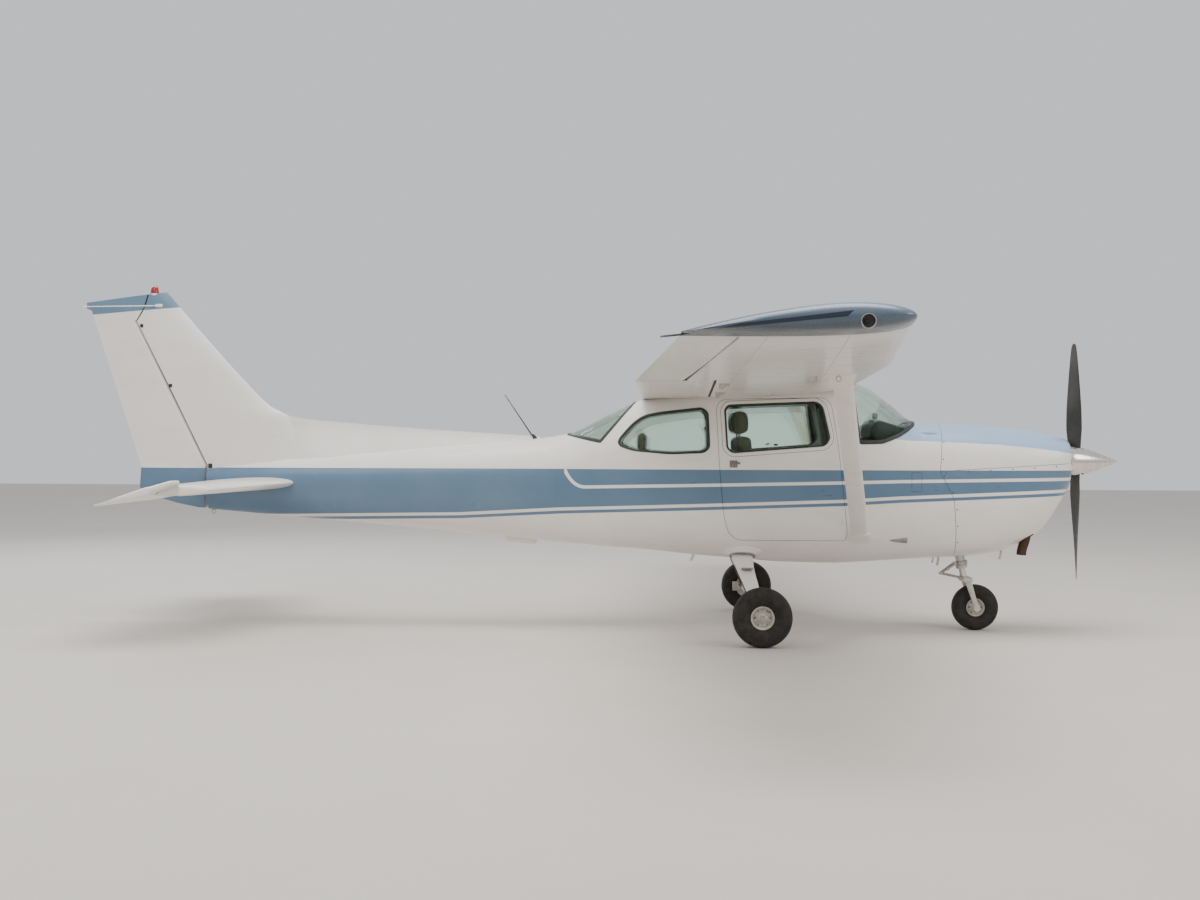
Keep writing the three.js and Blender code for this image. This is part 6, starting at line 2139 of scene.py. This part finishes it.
tailFit = {"whisker": ((-4.752, 0.012, 2.522), (-5.236, 0.400, 2.485)), "laps": (-2.10, -2.72, -3.34, -3.95),
           "beaconX": -4.788}
whiskers = []
for side in (1, -1):
    (xa, ya, za), (xb, yb, zb) = tailFit["whisker"]
    whiskers.append(rod([(xa, side * ya, za), (mix(xa, xb, 0.5), side * mix(ya, yb, 0.5), mix(za, zb, 0.5)),
                         (xb, side * yb, zb)], [0.0045, 0.0038, 0.0028], 12))
whiskers.append(softBlock(-4.775, -4.715, -0.034, 0.034, 2.508, 2.534, 0.006))
finishPiece(gather(whiskers), "tailWhiskers", paint, "airframe")
bx = tailFit["beaconX"]
lens = turned([(0.0003, 2.617), (0.0335, 2.618), (0.0338, 2.626), (0.0315, 2.650), (0.0285, 2.664),
               (0.0225, 2.673),
               (0.0130, 2.6785), (0.0003, 2.680)], (bx, 0, 0), "z", 64)
finishPiece(lens, "beaconLens", beaconRed, "airframe", ["beacon"])
finishPiece(turned([(0.0003, 2.600), (0.026, 2.600), (0.0345, 2.610), (0.0350, 2.620), (0.0003, 2.620)],
                   (bx, 0, 0), "z",
                   64), "beaconBase", paint, "airframe")
finishPiece(gather([ringAt(-4.299, 0, 0.874), softBlock(-4.312, -4.286, -0.012, 0.012, 0.884, 0.902, 0.003)]),
            "tailRing",
            steel, "airframe")
brackets = [softBlock(-4.334, -4.300, s * 0.046 - 0.005, s * 0.046 + 0.005, 1.222, 1.258,
                      0.003) for s in (1, -1)]
for z in (1.88, 2.36):
    x = hingeX(z) + 0.046
    chord = lookup(tail["finLead"], z) - lookup(tail["rudderTrail"], z)
    half = chord * halfThick(tail["thickness"], (lookup(tail["finLead"], z) - x) / chord)
    brackets += [softBlock(x - 0.002, x + 0.024, s * half - 0.004, s * half + 0.002, z - 0.014, z + 0.014,
                           0.001) for s in
                 (1, -1)]
finishPiece(gather(brackets), "tailBrackets", blackPlastic, "airframe")
for i, x in enumerate(tailFit["laps"]):
    row = [Vector(p) for p in bodyRing(x)]
    finishPiece(bandAlong(row + row[:1], 0.0018, 0.0006, 0.001), "coneLap%d" % i, bodyPaint, "airframe")


def coneRivets():
    heads = []
    for x in tailFit["laps"] + (-1.53,):
        for k, p in enumerate(bodyRing(x - 0.014)):
            if k % 3 == 0 and p[1] > 0.02:
                heads.append((Vector(p), skinNormal(Vector(p))[0]))
    for k in range(60):
        x = mix(-1.56, -4.26, k / 59)
        p = skinPoint(x, mix(1.315, 1.165, k / 59), 1)
        heads.append((p, skinNormal(p)[0]))
    return studs(heads, 0.0028, 0.0008, 6)


for name, side, obj in pair(coneRivets):
    finishPiece(obj, name + "ConeRivets", bodyPaint, "airframe")


def finRivets():
    heads = []
    for z in [1.36 + 0.05 * k for k in range(20)]:
        x = hingeX(z) + 0.075
        chord = lookup(tail["finLead"], z) - lookup(tail["rudderTrail"], z)
        half = chord * halfThick(tail["thickness"], (lookup(tail["finLead"], z) - x) / chord)
        heads.append((Vector((x, half, z)), (0, 1, 0)))
    return studs(heads, 0.0028, 0.0008, 6)


for name, side, obj in pair(finRivets):
    finishPiece(obj, name + "FinRivets", paint, "airframe")
print("tail fittings made")


# ---- CAD pieces that keep their shape and take a better finish

def recoat(node, material):
    obj = bpy.data.objects[node]
    if not obj.material_slots:
        obj.data.materials.append(material)
    for holder in obj.material_slots:
        holder.material = material


for node, material in (("rear_bulkhead", lining), ("firewall", aluminium), ("cabin_floor", carpet),
                       ("engine_block", castIron), ("radio_mast", blackPlastic),
                       ("belly_antenna", paint)):
    recoat(node, material)


# ---- stage

stage = {
    "floorSize": 70, "floorColour": (0.60, 0.555, 0.50), "floorColour2": (0.64, 0.595, 0.54),
    "worldColour": (0.93, 0.95, 1.0), "worldStrength": 0.80,
    "camera": (0.6365, -13.118, 1.494), "yaw": -4.38, "pitch": -0.14, "roll": 0.21, "lens": 50.0,
    "shift": (0.047, -0.009),
    "lights": [((0.5, -1.0, 13.0), (0.5, 0, 1.0), 10.0, 1300, (1, 0.99, 0.97)),
               ((-3.0, -7.5, 9.0), (0.6, 0, 1.0), 9.0, 450, (1, 0.96, 0.90)),
               ((9.0, -6.0, 6.0), (1.5, 0, 1.0), 5.0, 250, (1, 0.98, 0.95)),
               ((-7.0, 7.0, 7.0), (0, 0, 1.0), 6.0, 380, (0.93, 0.96, 1))],
}
bpy.ops.mesh.primitive_grid_add(x_subdivisions=2, y_subdivisions=2, size=stage["floorSize"],
                                location=(0, 0, 0))
floor = bpy.context.object
floor.name = "studioFloor"
floor.data.materials.append(plainMaterial("studio_floor", stage["floorColour"], stage["floorColour2"],
                                          (0.75, 0.9),
                                          grain=0.7, fine=90, bumpDepth=0.0004, patches=1.2))

world = bpy.data.worlds.new("softSky")
world.use_nodes = True
world.node_tree.nodes["Background"].inputs["Color"].default_value = (*stage["worldColour"], 1)
world.node_tree.nodes["Background"].inputs["Strength"].default_value = stage["worldStrength"]
scene.world = world

for i, (place, target, size, power, colour) in enumerate(stage["lights"]):
    light = bpy.data.lights.new("softLight%d" % i, "AREA")
    light.shape = "DISK"
    light.size = size
    light.energy = power
    light.color = colour
    lamp = bpy.data.objects.new("softLight%d" % i, light)
    lamp.location = place
    lamp.rotation_euler = (Vector(target) - Vector(place)).to_track_quat("-Z", "Y").to_euler()
    scene.collection.objects.link(lamp)

cameraData = bpy.data.cameras.new("viewCamera")
cameraData.lens = stage["lens"]
cameraData.sensor_width = 36
cameraData.shift_x, cameraData.shift_y = stage["shift"]
cameraData.clip_end = 200
camera = bpy.data.objects.new("viewCamera", cameraData)
camera.location = stage["camera"]
yaw, pitch, roll = (math.radians(stage[k]) for k in ("yaw", "pitch", "roll"))
ahead = Vector((math.sin(yaw) * math.cos(pitch), math.cos(yaw) * math.cos(pitch), math.sin(pitch)))
right = Vector((math.cos(yaw), -math.sin(yaw), 0))
upward = right.cross(ahead)
camera.matrix_world = Matrix.Translation(stage["camera"]) @ Matrix((
    right * math.cos(roll) + upward * math.sin(roll), upward * math.cos(roll) - right * math.sin(roll),
    -ahead)).transposed().to_4x4()
scene.collection.objects.link(camera)
scene.camera = camera
